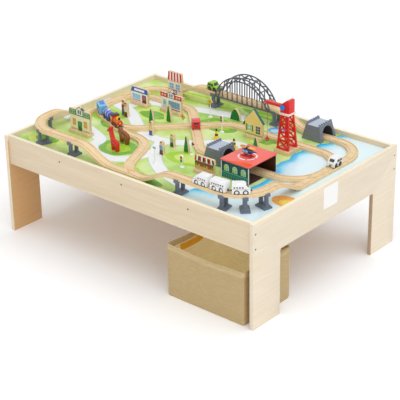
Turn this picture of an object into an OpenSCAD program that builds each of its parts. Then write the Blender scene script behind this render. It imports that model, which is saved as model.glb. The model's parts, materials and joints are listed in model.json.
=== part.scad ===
// Play table with a wooden railway, its buildings, vehicles and a fabric bin underneath

/* [Table] */
// Length of the table over its end panels
table_length = 1200; // [1150:10:1500]
// Width of the table over its end panels
table_width = 845; // [830:5:1000]
// Height of the rim above the floor
table_height = 400; // [360:5:600]
// Thickness of the end panels and aprons
panel_thickness = 15; // [12:1:20]
// Width of each leg of an end panel
leg_width = 147; // [90:1:200]
// Height of the opening between the legs
opening_height = 255; // [150:5:270]
// Radius of the opening's upper corners
opening_corner = 6; // [1:1:30]
// Height of the long aprons
apron_height = 115; // [70:5:130]
// How far the aprons sit in from the panels' edges
apron_setback = 6; // [1:1:20]
// How far the play board lies below the rim
board_recess = 20; // [10:1:40]
// Thickness of the play board
board_thickness = 5; // [3:1:12]
// Side of the square battens under the board
batten_side = 15; // [12:1:25]

/* [Storage bin] */
// Width of the bin along the table
bin_width = 350; // [200:10:360]
// Depth of the bin
bin_depth = 260; // [150:10:300]
// Height of the bin
bin_height = 205; // [120:5:240]
// Thickness of the bin's wall
bin_wall = 4; // [2:0.5:8]
// Length of each carrying strap
strap_length = 120; // [60:5:140]
// Height of each carrying strap
strap_height = 25; // [15:1:40]

/* [Track] */
// Width of the track
track_width = 40; // [36:1:44]
// Thickness of the track
track_thickness = 12; // [10:0.5:16]
// Distance between the middles of the two grooves
groove_gauge = 26; // [24:0.5:28]
// Width of each groove
groove_width = 6.6; // [6:0.1:8]
// Depth of each groove
groove_depth = 3; // [2:0.5:4]
// Radius of the curves along their middle
curve_radius = 120; // [110:1:126]
// Length of a ramp
ramp_length = 180; // [150:5:190]
// Rise of the raised track over the track on the board
raised_rise = 54; // [45:1:70]
// Longest straight piece
straight_length = 216; // [100:4:300]
// From the left panel to the middle of the loop
left_margin = 45; // [40:1:60]
// From the right panel to the middle of the loop
right_margin = 65; // [40:1:70]
// From the front apron to the middle of the loop
front_margin = 44; // [40:1:50]
// From the back apron to the middle of the loop
back_margin = 64; // [50:1:70]

/* [Bridge and tunnels] */
// Length of the arch bridge
bridge_length = 280; // [240:5:320]
// Height of the arch over its floor bars
bridge_height = 108; // [90:1:130]
// Length of a tunnel along the track
tunnel_length = 90; // [60:1:110]
// Width of a tunnel at its foot
tunnel_width = 96; // [76:1:104]
// Height of a tunnel without its battlements
tunnel_height = 58; // [56:1:80]

/* [Crane] */
// Length of the crane's base block
crane_base_length = 66; // [60:1:80]
// Width of the crane's base block
crane_base_width = 74; // [62:1:80]
// Height of the crane's base block
crane_base_height = 15; // [8:1:25]
// Width of the tower at its foot
tower_foot = 56; // [46:1:60]
// Width of the tower at its top
tower_top = 36; // [30:1:42]
// Height of the tower
tower_height = 134; // [110:1:160]
// From the tower's axis to the hoist string
jib_reach = 92; // [70:1:95]
// Length of the hoist string that hangs free
string_length = 134; // [90:1:136]

/* [Vehicles] */
// Length of a car without its couplers
car_length = 62; // [54:1:64]
// Width of a car
car_width = 32; // [30:1:34]
// Height of a car above the track
car_height = 38; // [34:1:42]
// Length of a single car without its couplers
single_length = 50; // [46:1:60]
// Height of a single car above the track
single_height = 34; // [31:1:38]
// Radius of a wheel
wheel_radius = 9; // [8:0.5:10]
// Width of a wheel
wheel_width = 3.2; // [3:0.2:4.2]
// Distance between a car's axles
wheel_base = 30; // [26:1:32]
// Radius of an axle
axle_radius = 1.5; // [1:0.1:2]

/* [Buildings] */
// Length of the engine shed along the track
shed_length = 125; // [110:1:130]
// Width of the engine shed
shed_width = 155; // [130:1:160]
// Height of the engine shed
shed_height = 70; // [62:1:90]
// Thickness of the shed's walls and roof
shed_wall = 6; // [4:0.5:10]
// Thickness of the flat house fronts
front_thickness = 10; // [8:1:20]
// Depth of the wooden feet under the house fronts
house_foot_depth = 30; // [24:1:34]
// Height of the wooden feet under the house fronts
house_foot_height = 14; // [8:1:20]
// Width of the green house
green_house_width = 104; // [80:1:110]
// Height of the green house
green_house_height = 112; // [80:1:130]
// Width of the blue house
blue_house_width = 88; // [70:1:96]
// Height of the blue house
blue_house_height = 74; // [60:1:90]
// Width of the red house
red_house_width = 104; // [80:1:106]
// Height of the red house
red_house_height = 92; // [70:1:110]
// Width of the house with the awning
awning_house_width = 72; // [60:1:80]
// Height of the house with the awning
awning_house_height = 118; // [90:1:130]
// Width of the yellow house
yellow_house_width = 82; // [70:1:84]
// Height of the yellow house
yellow_house_height = 118; // [90:1:130]
// Width of the market stall
stall_width = 88; // [70:1:90]
// Height of the market stall
stall_height = 66; // [50:1:80]

/* [Figures and trees] */
// Height of the tallest fir
fir_height = 70; // [50:1:80]
// Radius of the widest fir
fir_radius = 12; // [8:0.5:14]
// Radius of the round bush
bush_radius = 24; // [10:0.5:26]
// Height of the tallest figure
figure_height = 66; // [50:1:80]
// Radius of a figure at its foot
figure_radius = 10; // [8:0.5:11]
// Height of the tallest road sign
sign_height = 78; // [60:1:90]
// Height of the tallest signal
signal_post_height = 68; // [50:1:80]
// Height of the tallest cone
cone_height = 42; // [30:1:50]

/* [Hidden] */
$fn = 48;

// Clearances and cuts
overrun = 1;
seat_gap = 0.3;
bore_gap = 0.05;
lip_gap = 1;
// Track seams between neighbouring pieces
seam = 0.4;

// Planes of the table
inner_x = table_length / 2 - panel_thickness;
apron_y = table_width / 2 - apron_setback;
inner_y = apron_y - panel_thickness;
board_top = table_height - board_recess;
board_bottom = board_top - board_thickness;
track_top = board_top + track_thickness;
raised_top = track_top + raised_rise;

// Screws
screw_head_radius = 3.5;
screw_head_height = 2.5;
screw_shank_radius = 2;
screw_reach = 30;
panel_screw_shares = [0.34, 0.82];
apron_screw_shares = [-0.26, 0, 0.26];

// Bin
bin_inset = 1.5;
bin_x_share = 0.32;
strap_thickness = 2;
strap_drop = 30;

// Layout of the railway, planned for a table of this size: each pose is a place and a heading
layout_length = 1200;
layout_width = 845;
switch_angle = 67.5;
bend_angle = 22.5;
slant_angle = 45;
line_gap = 100;
left_link = 30;
cargo_run = 80;
cargo_leg = 100;
field_run = 22;
front_deck = 138;
tunnel_run = 125;
cross_arm = 44;
shed_mouth_share = 0.0917;
layout_x = layout_length / 2 - panel_thickness;
layout_y = layout_width / 2 - apron_setback - panel_thickness;
left_x = left_margin - layout_x;
right_x = layout_x - right_margin;
front_y = front_margin - layout_y;
back_y = layout_y - back_margin;
// The railway set shrinks on a table smaller than the one it is planned for
layout_share = min(1, table_length / layout_length, table_width / layout_width);
shed_y = front_y + curve_radius + ramp_length;
middle_y = back_y - curve_radius;
town_y = back_y - line_gap;
shed_mouth_x = shed_mouth_share * layout_length;

function ahead(p, d) = [p[0] + d * cos(p[2]), p[1] + d * sin(p[2]), p[2]];
function turned(p, a) =
  let (side = sign(a), h = p[2] + a)
  [p[0] - side * curve_radius * (sin(p[2]) - sin(h)), p[1] + side * curve_radius * (cos(p[2]) - cos(h)), h];
function flipped(p) = [p[0], p[1], p[2] + 180];
function rise_of(a) = curve_radius * (1 - cos(a));

front_left = [left_x, front_y + curve_radius, 270];
front_start = turned(front_left, 90);
front_ramp_low = ahead(front_start, front_deck + ramp_length);
right_ramp_low = [right_x, shed_y, 90];
shed_switch_toe = [right_x, shed_y + curve_radius, 270];
middle_switch_toe = [right_x, middle_y - curve_radius, 90];
back_right = [right_x, middle_y, 90];
back_start = turned(back_right, 90);
back_ramp_low = ahead(back_start, tunnel_run);
bridge_start = ahead(back_ramp_low, ramp_length);
back_deck_start = ahead(bridge_start, bridge_length);
back_left = [left_x + curve_radius, back_y, 180];
back_deck = back_deck_start[0] - back_left[0] - ramp_length;
town_switch_toe = [left_x, town_y - curve_radius, 90];
cargo_switch_toe = [left_x, town_switch_toe[1] - left_link, 270];
cargo_start = turned(cargo_switch_toe, switch_angle);
field_switch_toe = ahead(cargo_start, cargo_run);
diagonal_start = turned(field_switch_toe, switch_angle);
diagonal_run = (middle_y - diagonal_start[1] - rise_of(slant_angle)) / sin(slant_angle);
middle_bend = ahead(diagonal_start, diagonal_run);
middle_start = turned(middle_bend, -slant_angle);
field_bend = ahead(field_switch_toe, cargo_leg);
field_start = turned(field_bend, bend_angle);
field_corner = ahead(field_start, field_run);
field_drop_start = turned(field_corner, -switch_angle);
field_drop = (field_drop_start[1] - front_y - rise_of(switch_angle)) / sin(switch_angle);
field_end = ahead(field_drop_start, field_drop);
front_switch_toe = flipped(turned(field_end, switch_angle));
rise_ramp_low = flipped(front_switch_toe);
rise_top = ahead(rise_ramp_low, ramp_length);
front_right = [right_x - curve_radius, front_y, 0];
cross_bend = [shed_mouth_x, shed_y, 180];
cross_start = turned(cross_bend, -slant_angle);
cross_run = (town_y - shed_y - 2 * rise_of(slant_angle)) / sin(slant_angle);
town_bend = ahead(cross_start, cross_run);
town_start = turned(town_bend, slant_angle);
cross_sum = cross_start[0] + cross_start[1];
diagonal_rest = diagonal_start[1] - diagonal_start[0];
crossing = [(cross_sum - diagonal_rest) / 2, (cross_sum + diagonal_rest) / 2, slant_angle];

// Track outline
edge_chamfer = 1;
half_track = track_width / 2;
half_gauge = groove_gauge / 2;
half_groove = groove_width / 2;
ramp_steps = 24;
ramp_landing = 24;

// Piers
pier_base_length = 34;
pier_base_width = 52;
pier_base_height = 7;
pier_step_share = 0.78;
pier_step_height = 5;
pier_column_length = 13;
pier_column_width = 9;
pier_column_spacing = 29;
pier_seat_length = 20;
pier_seat_height = 8;
pier_lip = 3;
pier_lip_height = 5;
pier_inset = 12;

pier_turns = [10, 70];
corner_turns = [10, 45, 78];

// Arch bridge
rib_thickness = 4;
rib_gap = 1.5;
chord_height = 4;
truss_depth = 16;
hanger_width = 3;
hanger_count = 9;
lace_count = 16;
tie_angles = [-40, -20, 0, 20, 40];
floor_bar_height = 3;
floor_bar_width = 6;
floor_bar_shares = [-0.4, -0.2, 0, 0.2, 0.4];

// Tunnels
tunnel_top_share = 0.82;
tunnel_crown_share = 0.71;
tunnel_mouth_share = 0.645;
tunnel_mouth_rise_share = 0.92;
merlon_count = 6;
merlon_gap = 5;
merlon_height = 7;
merlon_thickness = 7;
parapet_height = 4;
tunnel_lap = 13;

// Crane
crane_x_share = 0.246;
crane_track_gap = 4;
tower_bar = 6;
tower_panel = 7;
tower_bays = 4;
tower_lace_share = 0.6;
collar_side = 44;
collar_height = 7;
head_length = 40;
head_width = 34;
head_height = 50;
head_front_share = 0.56;
head_crown_share = 0.3;
swivel_radius = 5;
jib_width = 14;
jib_thickness = 10;
jib_rise = 13;
jib_tip = 7;
string_radius = 0.6;
string_hole_radius = 1.2;
hook_radius = 7.5;
hook_seat_share = 0.9;
hook_neck_radius = 3;
hook_neck_height = 4;
winch_radius = 3;
winch_rise = 21;
winch_offset = -7;
knob_radius = 10;
knob_thickness = 8;

// Shed and helicopter
shed_start_gap = 46;
shed_track_share = 0.335;
roof_overhang = 3;
heli_x_share = 0.5;
heli_y_share = 0.46;
heli_length = 46;
heli_width = 22;
heli_height = 22;
heli_skid_height = 8;
heli_skid_width = 5;
heli_skid_spacing = 15;
heli_tail_length = 26;
heli_tail_side = 7;
mast_radius = 2.5;
mast_height = 6;
rotor_length = 66;
rotor_width = 15;
rotor_thickness = 4;
rotor_hub_radius = 6;

// House fronts: places and outlines
green_house_shares = [-0.345, -0.236];
blue_house_shares = [-0.365, 0.186];
red_house_shares = [-0.237, 0.205];
awning_house_shares = [-0.304, 0.339];
yellow_house_shares = [0.106, 0.208];
stall_shares = [0.158, -0.216];
gable_outline_shares = [[0, 0], [1, 0], [1, 0.6], [1.04, 0.6], [1.04, 0.84], [0.66, 0.84], [0.5, 1],
  [0.34, 0.84], [-0.04, 0.84], [-0.04, 0.6], [0, 0.6]];
shop_outline_shares = [[0, 0], [1, 0], [1, 0.64], [1.05, 0.64], [1, 1], [0.06, 1], [-0.05, 0.64], [0, 0.64]];
peak_outline_shares = [[0, 0], [1, 0], [1, 0.5], [1.05, 0.5], [0.5, 1], [-0.05, 0.5], [0, 0.5]];

// Trees, figures and animals
fir_shares = [[-0.235, 0.063], [-0.193, 0.117], [0.011, -0.092], [0.152, 0.14]];
fir_size_shares = [0.83, 1, 0.94, 0.55];
fir_outline_shares = [[0.08, 0], [0.92, 0], [1, 0.08], [0.9, 0.36], [0.74, 0.7], [0.62, 0.95], [0.54, 1],
  [0.46, 1], [0.38, 0.95], [0.26, 0.7], [0.1, 0.36], [0, 0.08]];
bush_shares = [[-0.034, 0.321], [0.014, 0.307]];
bush_size_shares = [1, 0.4];
bush_outline_shares = [[0.03, 0], [0.97, 0], [1, 0.1], [0.95, 0.35], [0.87, 0.6], [0.74, 0.82], [0.6, 0.96],
  [0.5, 1], [0.4, 0.96], [0.26, 0.82], [0.13, 0.6], [0.05, 0.35], [0, 0.1]];
block_thickness = 10;
figure_shares = [[-0.346, 0.047], [-0.329, 0.038], [-0.163, -0.048], [-0.037, -0.178], [-0.051, -0.086]];
figure_size_shares = [1, 0.94, 0.88, 0.82, 0.79];
figure_outline_shares = [[0.04, 0], [0.96, 0], [1, 0.05], [0.92, 0.36], [0.98, 0.64], [0.84, 0.74],
  [0.88, 0.86], [0.74, 0.96], [0.5, 1], [0.26, 0.96], [0.12, 0.86], [0.16, 0.74], [0.02, 0.64], [0.08, 0.36],
  [0, 0.05]];
figure_thickness = 12;
giraffe_shares = [-0.178, -0.272];
giraffe_length = 62;
giraffe_height = 90;
bear_shares = [-0.19, -0.189];
bear_length = 64;
bear_height = 56;
animal_thickness = 14;
animal_turn = 12;
giraffe_outline_shares = [[0.42, 0], [0.56, 0], [0.58, 0.17], [0.8, 0.17], [0.82, 0], [0.97, 0], [1, 0.34],
  [0.9, 0.46], [0.56, 0.5], [0.36, 0.84], [0.4, 0.96], [0.3, 1], [0.24, 0.95], [0.03, 0.84], [0, 0.76],
  [0.08, 0.72], [0.2, 0.76], [0.34, 0.4]];
bear_outline_shares = [[0.2, 0], [0.36, 0], [0.4, 0.28], [0.68, 0.26], [0.72, 0], [0.9, 0], [1, 0.5],
  [0.92, 0.74], [0.6, 0.84], [0.36, 0.84], [0.24, 1], [0.1, 0.98], [0, 0.8], [0.02, 0.68], [0.14, 0.6],
  [0.18, 0.3]];

// Signs and cones
sign_base_radius = 9;
sign_base_height = 3;
pole_radius = 1.8;
diamond_shares = [[-0.115, 0.276], [-0.146, 0.136]];
diamond_size_shares = [1, 0.56];
diamond_side = 19;
plate_thickness = 3;
signal_shares = [[-0.006, 0.173], [0.0725, -0.225]];
signal_size_shares = [1, 0.68];
signal_width = 11;
signal_height = 26;
signal_depth = 8;
lamp_radius = 3;
lamp_depth = 1.2;
lamp_shares = [0.18, 0.5, 0.82];
post_shares = [-0.011, -0.266];
post_height = 68;
flag_shares = [0.036, -0.1];
flag_height = 52;
flag_side = 15;
cone_shares = [[0.017, 0.097], [0.099, 0.077]];
cone_size_shares = [1, 0.81];
cone_base_side = 22;
cone_base_height = 3;
cone_foot_radius = 8;
cone_top_radius = 3;

// Vehicles
chassis_rise = 2.5;
chassis_height = 12;
chassis_gap = 0.6;
chassis_width = groove_gauge - wheel_width - 2 * chassis_gap;
arch_gap = 1;
single_end_wall = 3;
single_base = single_length - 2 * (wheel_radius + arch_gap + single_end_wall);
roof_corner = 7;
axle_stub = 0.8;
hub_radius = 3.2;
coupler_radius = 3.5;
coupler_length = 6;
coupler_gap = 3;
car_pitch = car_length + 2 * coupler_length + coupler_gap;
coupler_rise = 9;
axle_rise = wheel_radius - groove_depth + seat_gap;
nose_outline_shares = [[0, 0], [1, 0], [1, 0.3], [0.93, 0.5], [0.72, 0.94], [0.62, 1], [0, 1]];
car_outline_shares = [[0, 0], [1, 0], [1, 0.42], [0.96, 0.5], [0.72, 0.56], [0.58, 0.96], [0.52, 1],
  [0.16, 1], [0.1, 0.96], [0, 0.6]];
van_outline_shares = [[0, 0], [1, 0], [1, 0.5], [0.84, 0.6], [0.72, 1], [0.06, 1], [0, 0.9]];
boiler_radius = 12;
boiler_rise = 17;
dome_radius = 8;
dome_height = 10;
dome_place_share = 0.2;
engine_cab_length = 22;
tank_radius = 14.5;
tank_rise = 20;
cab_post = 6;
cab_sill_share = 0.45;
cab_window_share = 0.33;
express_middle = 5;
cargo_middle = 50;
white_car_rise = 45;
lime_car_back = 20;
red_car_back = 25;

function front_pose(s) = s <= 0 ? ahead(front_right, s) : turned(front_right, s / curve_radius * 180 / PI);
function cargo_pose(s) =
  s >= 0 ? ahead(cargo_start, s) : turned(cargo_switch_toe, switch_angle + s / curve_radius * 180 / PI);
function between(a, b) = [(a[0] + b[0]) / 2, (a[1] + b[1]) / 2, atan2(b[1] - a[1], b[0] - a[0])];
function front_axles(s) = [front_pose(s - wheel_base / 2), front_pose(s + wheel_base / 2)];
function cargo_axles(s) = [cargo_pose(s - wheel_base / 2), cargo_pose(s + wheel_base / 2)];
function single_axles(p) = [ahead(p, -single_base / 2), ahead(p, single_base / 2)];
express_axles = [for (i = [1, 0, -1]) front_axles(express_middle + i * car_pitch)];
cargo_axle_pairs = [for (i = [1, 0, -1]) cargo_axles(cargo_middle + i * car_pitch)];
white_car_axles = single_axles(ahead(middle_switch_toe, white_car_rise));
lime_car_axles = single_axles(flipped(ahead(back_deck_start, lime_car_back)));
red_car_axles = single_axles(ahead(crossing + [0, 0, 90], -red_car_back));

// Moving helpers
module at_pose(p, z) {
  translate([p[0], p[1], z]) rotate([0, 0, p[2]]) children();
}

// What stands on the board, at the layout's share of its size
module on_board() {
  translate([0, 0, board_top]) scale(layout_share) translate([0, 0, -board_top]) children();
}

module at_share(s, z) {
  translate([s[0] * layout_length, s[1] * layout_width, z]) children();
}

module centred_box(size) {
  translate([-size[0] / 2, -size[1] / 2, 0]) cube(size);
}

// Outline given in shares, standing upright along X and centred across Y
module standing(outline, size, thickness) {
  translate([-size[0] / 2, thickness / 2, 0])
    rotate([90, 0, 0])
      linear_extrude(thickness)
        polygon([for (q = outline) [q[0] * size[0], q[1] * size[1]]]);
}

// Table
module end_panel(side) {
  translate([side * (table_length / 2 - panel_thickness / 2), 0, 0])
    difference() {
      translate([-panel_thickness / 2, -table_width / 2, 0])
        cube([panel_thickness, table_width, table_height]);
      panel_opening();
      for (y = [-1, 1], share = panel_screw_shares)
        translate([0, y * (apron_y - panel_thickness / 2), table_height - share * apron_height])
          rotate([0, side * 90, 0]) screw_hole();
    }
}

module panel_opening() {
  half_gap = table_width / 2 - leg_width;
  rotate([90, 0, 90])
    linear_extrude(panel_thickness + 2 * overrun, center = true) {
      translate([-half_gap, -overrun])
        square([2 * half_gap, opening_height + overrun - opening_corner]);
      translate([opening_corner - half_gap, 0])
        square([2 * (half_gap - opening_corner), opening_height]);
      for (side = [-1, 1])
        translate([side * (half_gap - opening_corner), opening_height - opening_corner])
          circle(opening_corner);
    }
}

// Screw with its head towards +Z, the panel's outer face at half its thickness
module screw_shape(gap) {
  translate([0, 0, panel_thickness / 2 - screw_head_height])
    cylinder(h = screw_head_height + (gap > 0 ? overrun : 0), r = screw_head_radius + gap);
  translate([0, 0, panel_thickness / 2 - screw_reach])
    cylinder(h = screw_reach - screw_head_height / 2, r = screw_shank_radius + gap);
}

module screw_hole() {
  screw_shape(bore_gap);
}

module left_end_panel() {
  color("wheat") end_panel(-1);
}

module right_end_panel() {
  color("wheat") end_panel(1);
}

module each_panel_screw() {
  for (side = [-1, 1], y = [-1, 1], share = panel_screw_shares)
    translate([side * (table_length / 2 - panel_thickness / 2), y * (apron_y - panel_thickness / 2),
        table_height - share * apron_height])
      rotate([0, side * 90, 0]) children();
}

module each_apron_screw() {
  for (y = [-1, 1], share = apron_screw_shares)
    translate([share * table_length, y * (apron_y - panel_thickness / 2), board_bottom - batten_side / 2])
      rotate([y * -90, 0, 0]) children();
}

module apron(side) {
  difference() {
    translate([-inner_x, side * (apron_y - panel_thickness / 2) - panel_thickness / 2,
        table_height - apron_height])
      cube([2 * inner_x, panel_thickness, apron_height]);
    each_panel_screw() screw_hole();
    each_apron_screw() screw_hole();
  }
}

module front_apron() {
  color("wheat") apron(-1);
}

module back_apron() {
  color("wheat") apron(1);
}

module play_board() {
  color("yellowgreen")
    translate([-inner_x, -inner_y, board_bottom])
      cube([2 * inner_x, 2 * inner_y, board_thickness]);
}

module board_battens() {
  low = board_bottom - batten_side;
  color("burlywood")
    difference() {
      union() {
        for (side = [-1, 1])
          translate([0, side * (inner_y - batten_side / 2), low])
            centred_box([2 * inner_x, batten_side, batten_side]);
        for (share = apron_screw_shares)
          translate([share * table_length, 0, low])
            centred_box([batten_side, 2 * (inner_y - batten_side), batten_side]);
      }
      each_apron_screw() screw_hole();
    }
}

module frame_screws() {
  color("dimgray") {
    each_panel_screw() screw_shape(0);
    each_apron_screw() screw_shape(0);
  }
}

// Storage bin
bin_x = bin_x_share * table_length;
bin_y = bin_inset + bin_depth / 2 - table_width / 2;

module storage_bin() {
  color("burlywood")
    translate([bin_x, bin_y, 0])
      difference() {
        centred_box([bin_width, bin_depth, bin_height]);
        translate([0, 0, bin_wall])
          centred_box([bin_width - 2 * bin_wall, bin_depth - 2 * bin_wall, bin_height]);
      }
}

module bin_straps() {
  color("peru")
    for (side = [-1, 1])
      translate([bin_x + side * (bin_width / 2 - bin_wall - strap_thickness / 2), bin_y,
          bin_height - strap_drop - strap_height])
        centred_box([strap_thickness, strap_length, strap_height]);
}

// Track outlines, standing on the line that they follow
module track_blank() {
  polygon([[-half_track, 0], [half_track, 0], [half_track, track_thickness - edge_chamfer],
    [half_track - edge_chamfer, track_thickness], [edge_chamfer - half_track, track_thickness],
    [-half_track, track_thickness - edge_chamfer]]);
}

module track_grooves() {
  for (side = [-1, 1])
    translate([side * half_gauge - half_groove, track_thickness - groove_depth])
      square([groove_width, groove_depth + overrun]);
}

module track_outline() {
  difference() {
    track_blank();
    track_grooves();
  }
}

module along(p, run) {
  translate([p[0], p[1], 0]) rotate([0, 0, p[2]]) rotate([90, 0, 90])
    linear_extrude(run) children();
}

module around(p, a, inset = 0) {
  translate([p[0], p[1], 0]) rotate([0, 0, p[2]]) mirror([0, a < 0 ? 1 : 0, 0])
    translate([0, curve_radius, 0]) rotate([0, 0, -90])
      rotate_extrude(angle = abs(a), $fn = 96) translate([curve_radius - inset, 0]) children();
}

module straight_run(p, run) {
  pieces = ceil(run / straight_length);
  for (i = [0:pieces - 1])
    along(ahead(p, i * run / pieces + seam / 2), run / pieces - seam) track_outline();
}

module curve_piece(p, a) {
  around(p, a) track_outline();
}

// The branch lies a seam inside its curve, so that its edges part cleanly from the straight leg's
module switch_piece(toe, leg, a) {
  side = sign(a);
  over_angle = overrun / curve_radius * 180 / PI;
  at_pose(toe, 0)
    difference() {
      union() {
        along([0, 0, 0], leg - seam / 2) track_blank();
        around([0, 0, 0], a, seam) track_blank();
      }
      along([-overrun, 0, 0], leg + 2 * overrun) track_grooves();
      along([-overrun, side * seam, 0], overrun) track_grooves();
      around([0, 0, 0], a + side * over_angle, seam) track_grooves();
    }
}

module crossing_piece() {
  at_pose(crossing, 0)
    difference() {
      for (turn = [0, 90])
        rotate([0, 0, turn]) along([-cross_arm, 0, 0], 2 * cross_arm) track_blank();
      for (turn = [0, 90])
        rotate([0, 0, turn]) along([-cross_arm - overrun, 0, 0], 2 * (cross_arm + overrun)) track_grooves();
    }
}

// Height of a ramp at a distance from its low end
function ramp_height(s) = raised_rise * (1 - cos(180 * min(1, s / (ramp_length - ramp_landing)))) / 2;
ramp_stations = concat(
  [for (i = [0:ramp_steps]) i / ramp_steps * (ramp_length - ramp_landing)],
  [ramp_length - seam]);
ramp_stations_back = [for (i = [len(ramp_stations) - 1:-1:0]) ramp_stations[i]];

module ramp_slice(low, high, width) {
  low_line = [for (s = ramp_stations) [s, ramp_height(s) + low]];
  high_line = [for (s = ramp_stations_back) [s, ramp_height(s) + high]];
  rotate([90, 0, 0])
    linear_extrude(width, center = true) polygon(concat(low_line, high_line));
}

module ramp_piece(p) {
  at_pose(ahead(p, seam / 2), 0)
    difference() {
      ramp_slice(0, track_thickness, track_width);
      for (side = [-1, 1])
        translate([0, side * half_gauge, 0])
          ramp_slice(track_thickness - groove_depth, track_thickness + overrun, groove_width);
    }
}

module straight_tracks() {
  link = middle_switch_toe[1] - shed_switch_toe[1];
  cross_first = (crossing[1] - cross_start[1]) / sin(slant_angle) - cross_arm;
  diagonal_first = (crossing[1] - diagonal_start[1]) / sin(slant_angle) - cross_arm;
  color("navajowhite") {
    translate([0, 0, board_top]) {
      straight_run(shed_switch_toe + [0, 0, 180], link);
      straight_run(back_start, tunnel_run);
      straight_run(cross_bend + [0, 0, 180], right_x - curve_radius - shed_mouth_x);
      straight_run(cross_start, cross_first);
      straight_run(ahead(cross_start, cross_first + 2 * cross_arm), cross_run - cross_first - 2 * cross_arm);
      straight_run(town_start, town_start[0] - left_x - curve_radius);
      straight_run(town_switch_toe + [0, 0, 180], left_link);
      straight_run(cargo_start, cargo_run);
      straight_run(diagonal_start, diagonal_first);
      straight_run(ahead(diagonal_start, diagonal_first + 2 * cross_arm),
        diagonal_run - diagonal_first - 2 * cross_arm);
      straight_run(middle_start, right_x - curve_radius - middle_start[0]);
      straight_run(field_start, field_run);
      straight_run(field_drop_start, field_drop);
    }
    translate([0, 0, board_top + raised_rise]) {
      straight_run(front_start, front_deck);
      straight_run(rise_top, front_right[0] - rise_top[0]);
      straight_run(bridge_start, bridge_length);
      straight_run(back_deck_start, back_deck);
    }
  }
}

module curved_tracks() {
  color("navajowhite") {
    translate([0, 0, board_top]) {
      curve_piece(back_right, 90);
      curve_piece(back_left, 90);
      curve_piece(cross_bend, -slant_angle);
      curve_piece(town_bend, slant_angle);
      curve_piece(middle_bend, -slant_angle);
      curve_piece(field_bend, bend_angle);
      curve_piece(field_corner, -switch_angle);
    }
    translate([0, 0, board_top + raised_rise]) {
      curve_piece(front_left, 90);
      curve_piece(front_right, 90);
    }
  }
}

module switch_tracks() {
  color("navajowhite")
    translate([0, 0, board_top]) {
      switch_piece(shed_switch_toe, curve_radius, -90);
      switch_piece(middle_switch_toe, curve_radius, 90);
      switch_piece(town_switch_toe, line_gap, -90);
      switch_piece(cargo_switch_toe, cargo_switch_toe[1] - shed_y, switch_angle);
      switch_piece(field_switch_toe, cargo_leg, switch_angle);
      switch_piece(front_switch_toe, front_switch_toe[0] - front_ramp_low[0], -switch_angle);
      crossing_piece();
    }
}

module ramp_tracks() {
  color("navajowhite")
    translate([0, 0, board_top])
      for (low = [[left_x, shed_y, 270], flipped(front_ramp_low), rise_ramp_low, flipped(right_ramp_low),
          back_ramp_low, flipped(back_left)])
        ramp_piece(low);
}

// Piers under the raised track
module pier(p) {
  column_bottom = pier_base_height + pier_step_height;
  seat_bottom = raised_rise - pier_seat_height;
  seat_width = track_width + 2 * (lip_gap + pier_lip);
  at_pose(p, board_top) {
    centred_box([pier_base_length, pier_base_width, pier_base_height]);
    translate([0, 0, pier_base_height])
      centred_box([pier_step_share * pier_base_length, pier_step_share * pier_base_width, pier_step_height]);
    for (side = [-1, 1])
      translate([0, side * pier_column_spacing / 2, column_bottom])
        centred_box([pier_column_length, pier_column_width, seat_bottom - column_bottom]);
    translate([0, 0, seat_bottom])
      centred_box([pier_seat_length, seat_width, pier_seat_height]);
    for (side = [-1, 1])
      translate([0, side * (seat_width - pier_lip) / 2, raised_rise])
        centred_box([pier_seat_length, pier_lip, pier_lip_height]);
  }
}

module bridge_piers() {
  color("slategray") {
    for (a = pier_turns) pier(turned(front_left, a));
    pier(ahead(front_start, front_deck - pier_inset));
    pier(ahead(rise_top, pier_inset));
    for (a = corner_turns) pier(turned(front_right, a));
    pier(ahead(bridge_start, -pier_inset));
    pier(ahead(back_deck_start, pier_inset));
  }
}

// Arch bridge, drawn from the side over the middle of its deck
arch_radius = (pow(bridge_length / 2, 2) + pow(bridge_height, 2)) / (2 * bridge_height);
arch_drop = arch_radius - bridge_height;

module ring(r) {
  difference() {
    circle(r, $fn = 96);
    circle(r - chord_height, $fn = 96);
  }
}

module bar(a, b, width) {
  translate(a) rotate([0, 0, atan2(b[1] - a[1], b[0] - a[0])])
    translate([0, -width / 2]) square([norm(b - a), width]);
}

module arch_side() {
  inner_radius = arch_radius - truss_depth;
  outer_line = arch_radius - chord_height / 2;
  inner_line = inner_radius - chord_height / 2;
  foot_angle = acos(arch_drop / inner_radius);
  lace_step = 2 * foot_angle / lace_count;
  hanger_step = 2 * inner_radius * sin(foot_angle) / (hanger_count + 1);
  translate([-bridge_length / 2, 0]) square([bridge_length, chord_height]);
  intersection() {
    translate([0, -arch_drop]) {
      ring(arch_radius);
      ring(inner_radius);
      for (i = [0:lace_count - 1]) {
        a = -foot_angle + i * lace_step;
        ends = [i % 2 == 0 ? outer_line : inner_line, i % 2 == 0 ? inner_line : outer_line];
        bar(ends[0] * [sin(a), cos(a)], ends[1] * [sin(a + lace_step), cos(a + lace_step)], hanger_width);
      }
    }
    translate([-bridge_length / 2, 0]) square([bridge_length, bridge_height]);
  }
  for (i = [1:hanger_count]) {
    x = i * hanger_step - inner_radius * sin(foot_angle);
    top = sqrt(pow(inner_line, 2) - pow(x, 2)) - arch_drop;
    bar([x, chord_height / 2], [x, top], hanger_width);
  }
}

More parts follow.
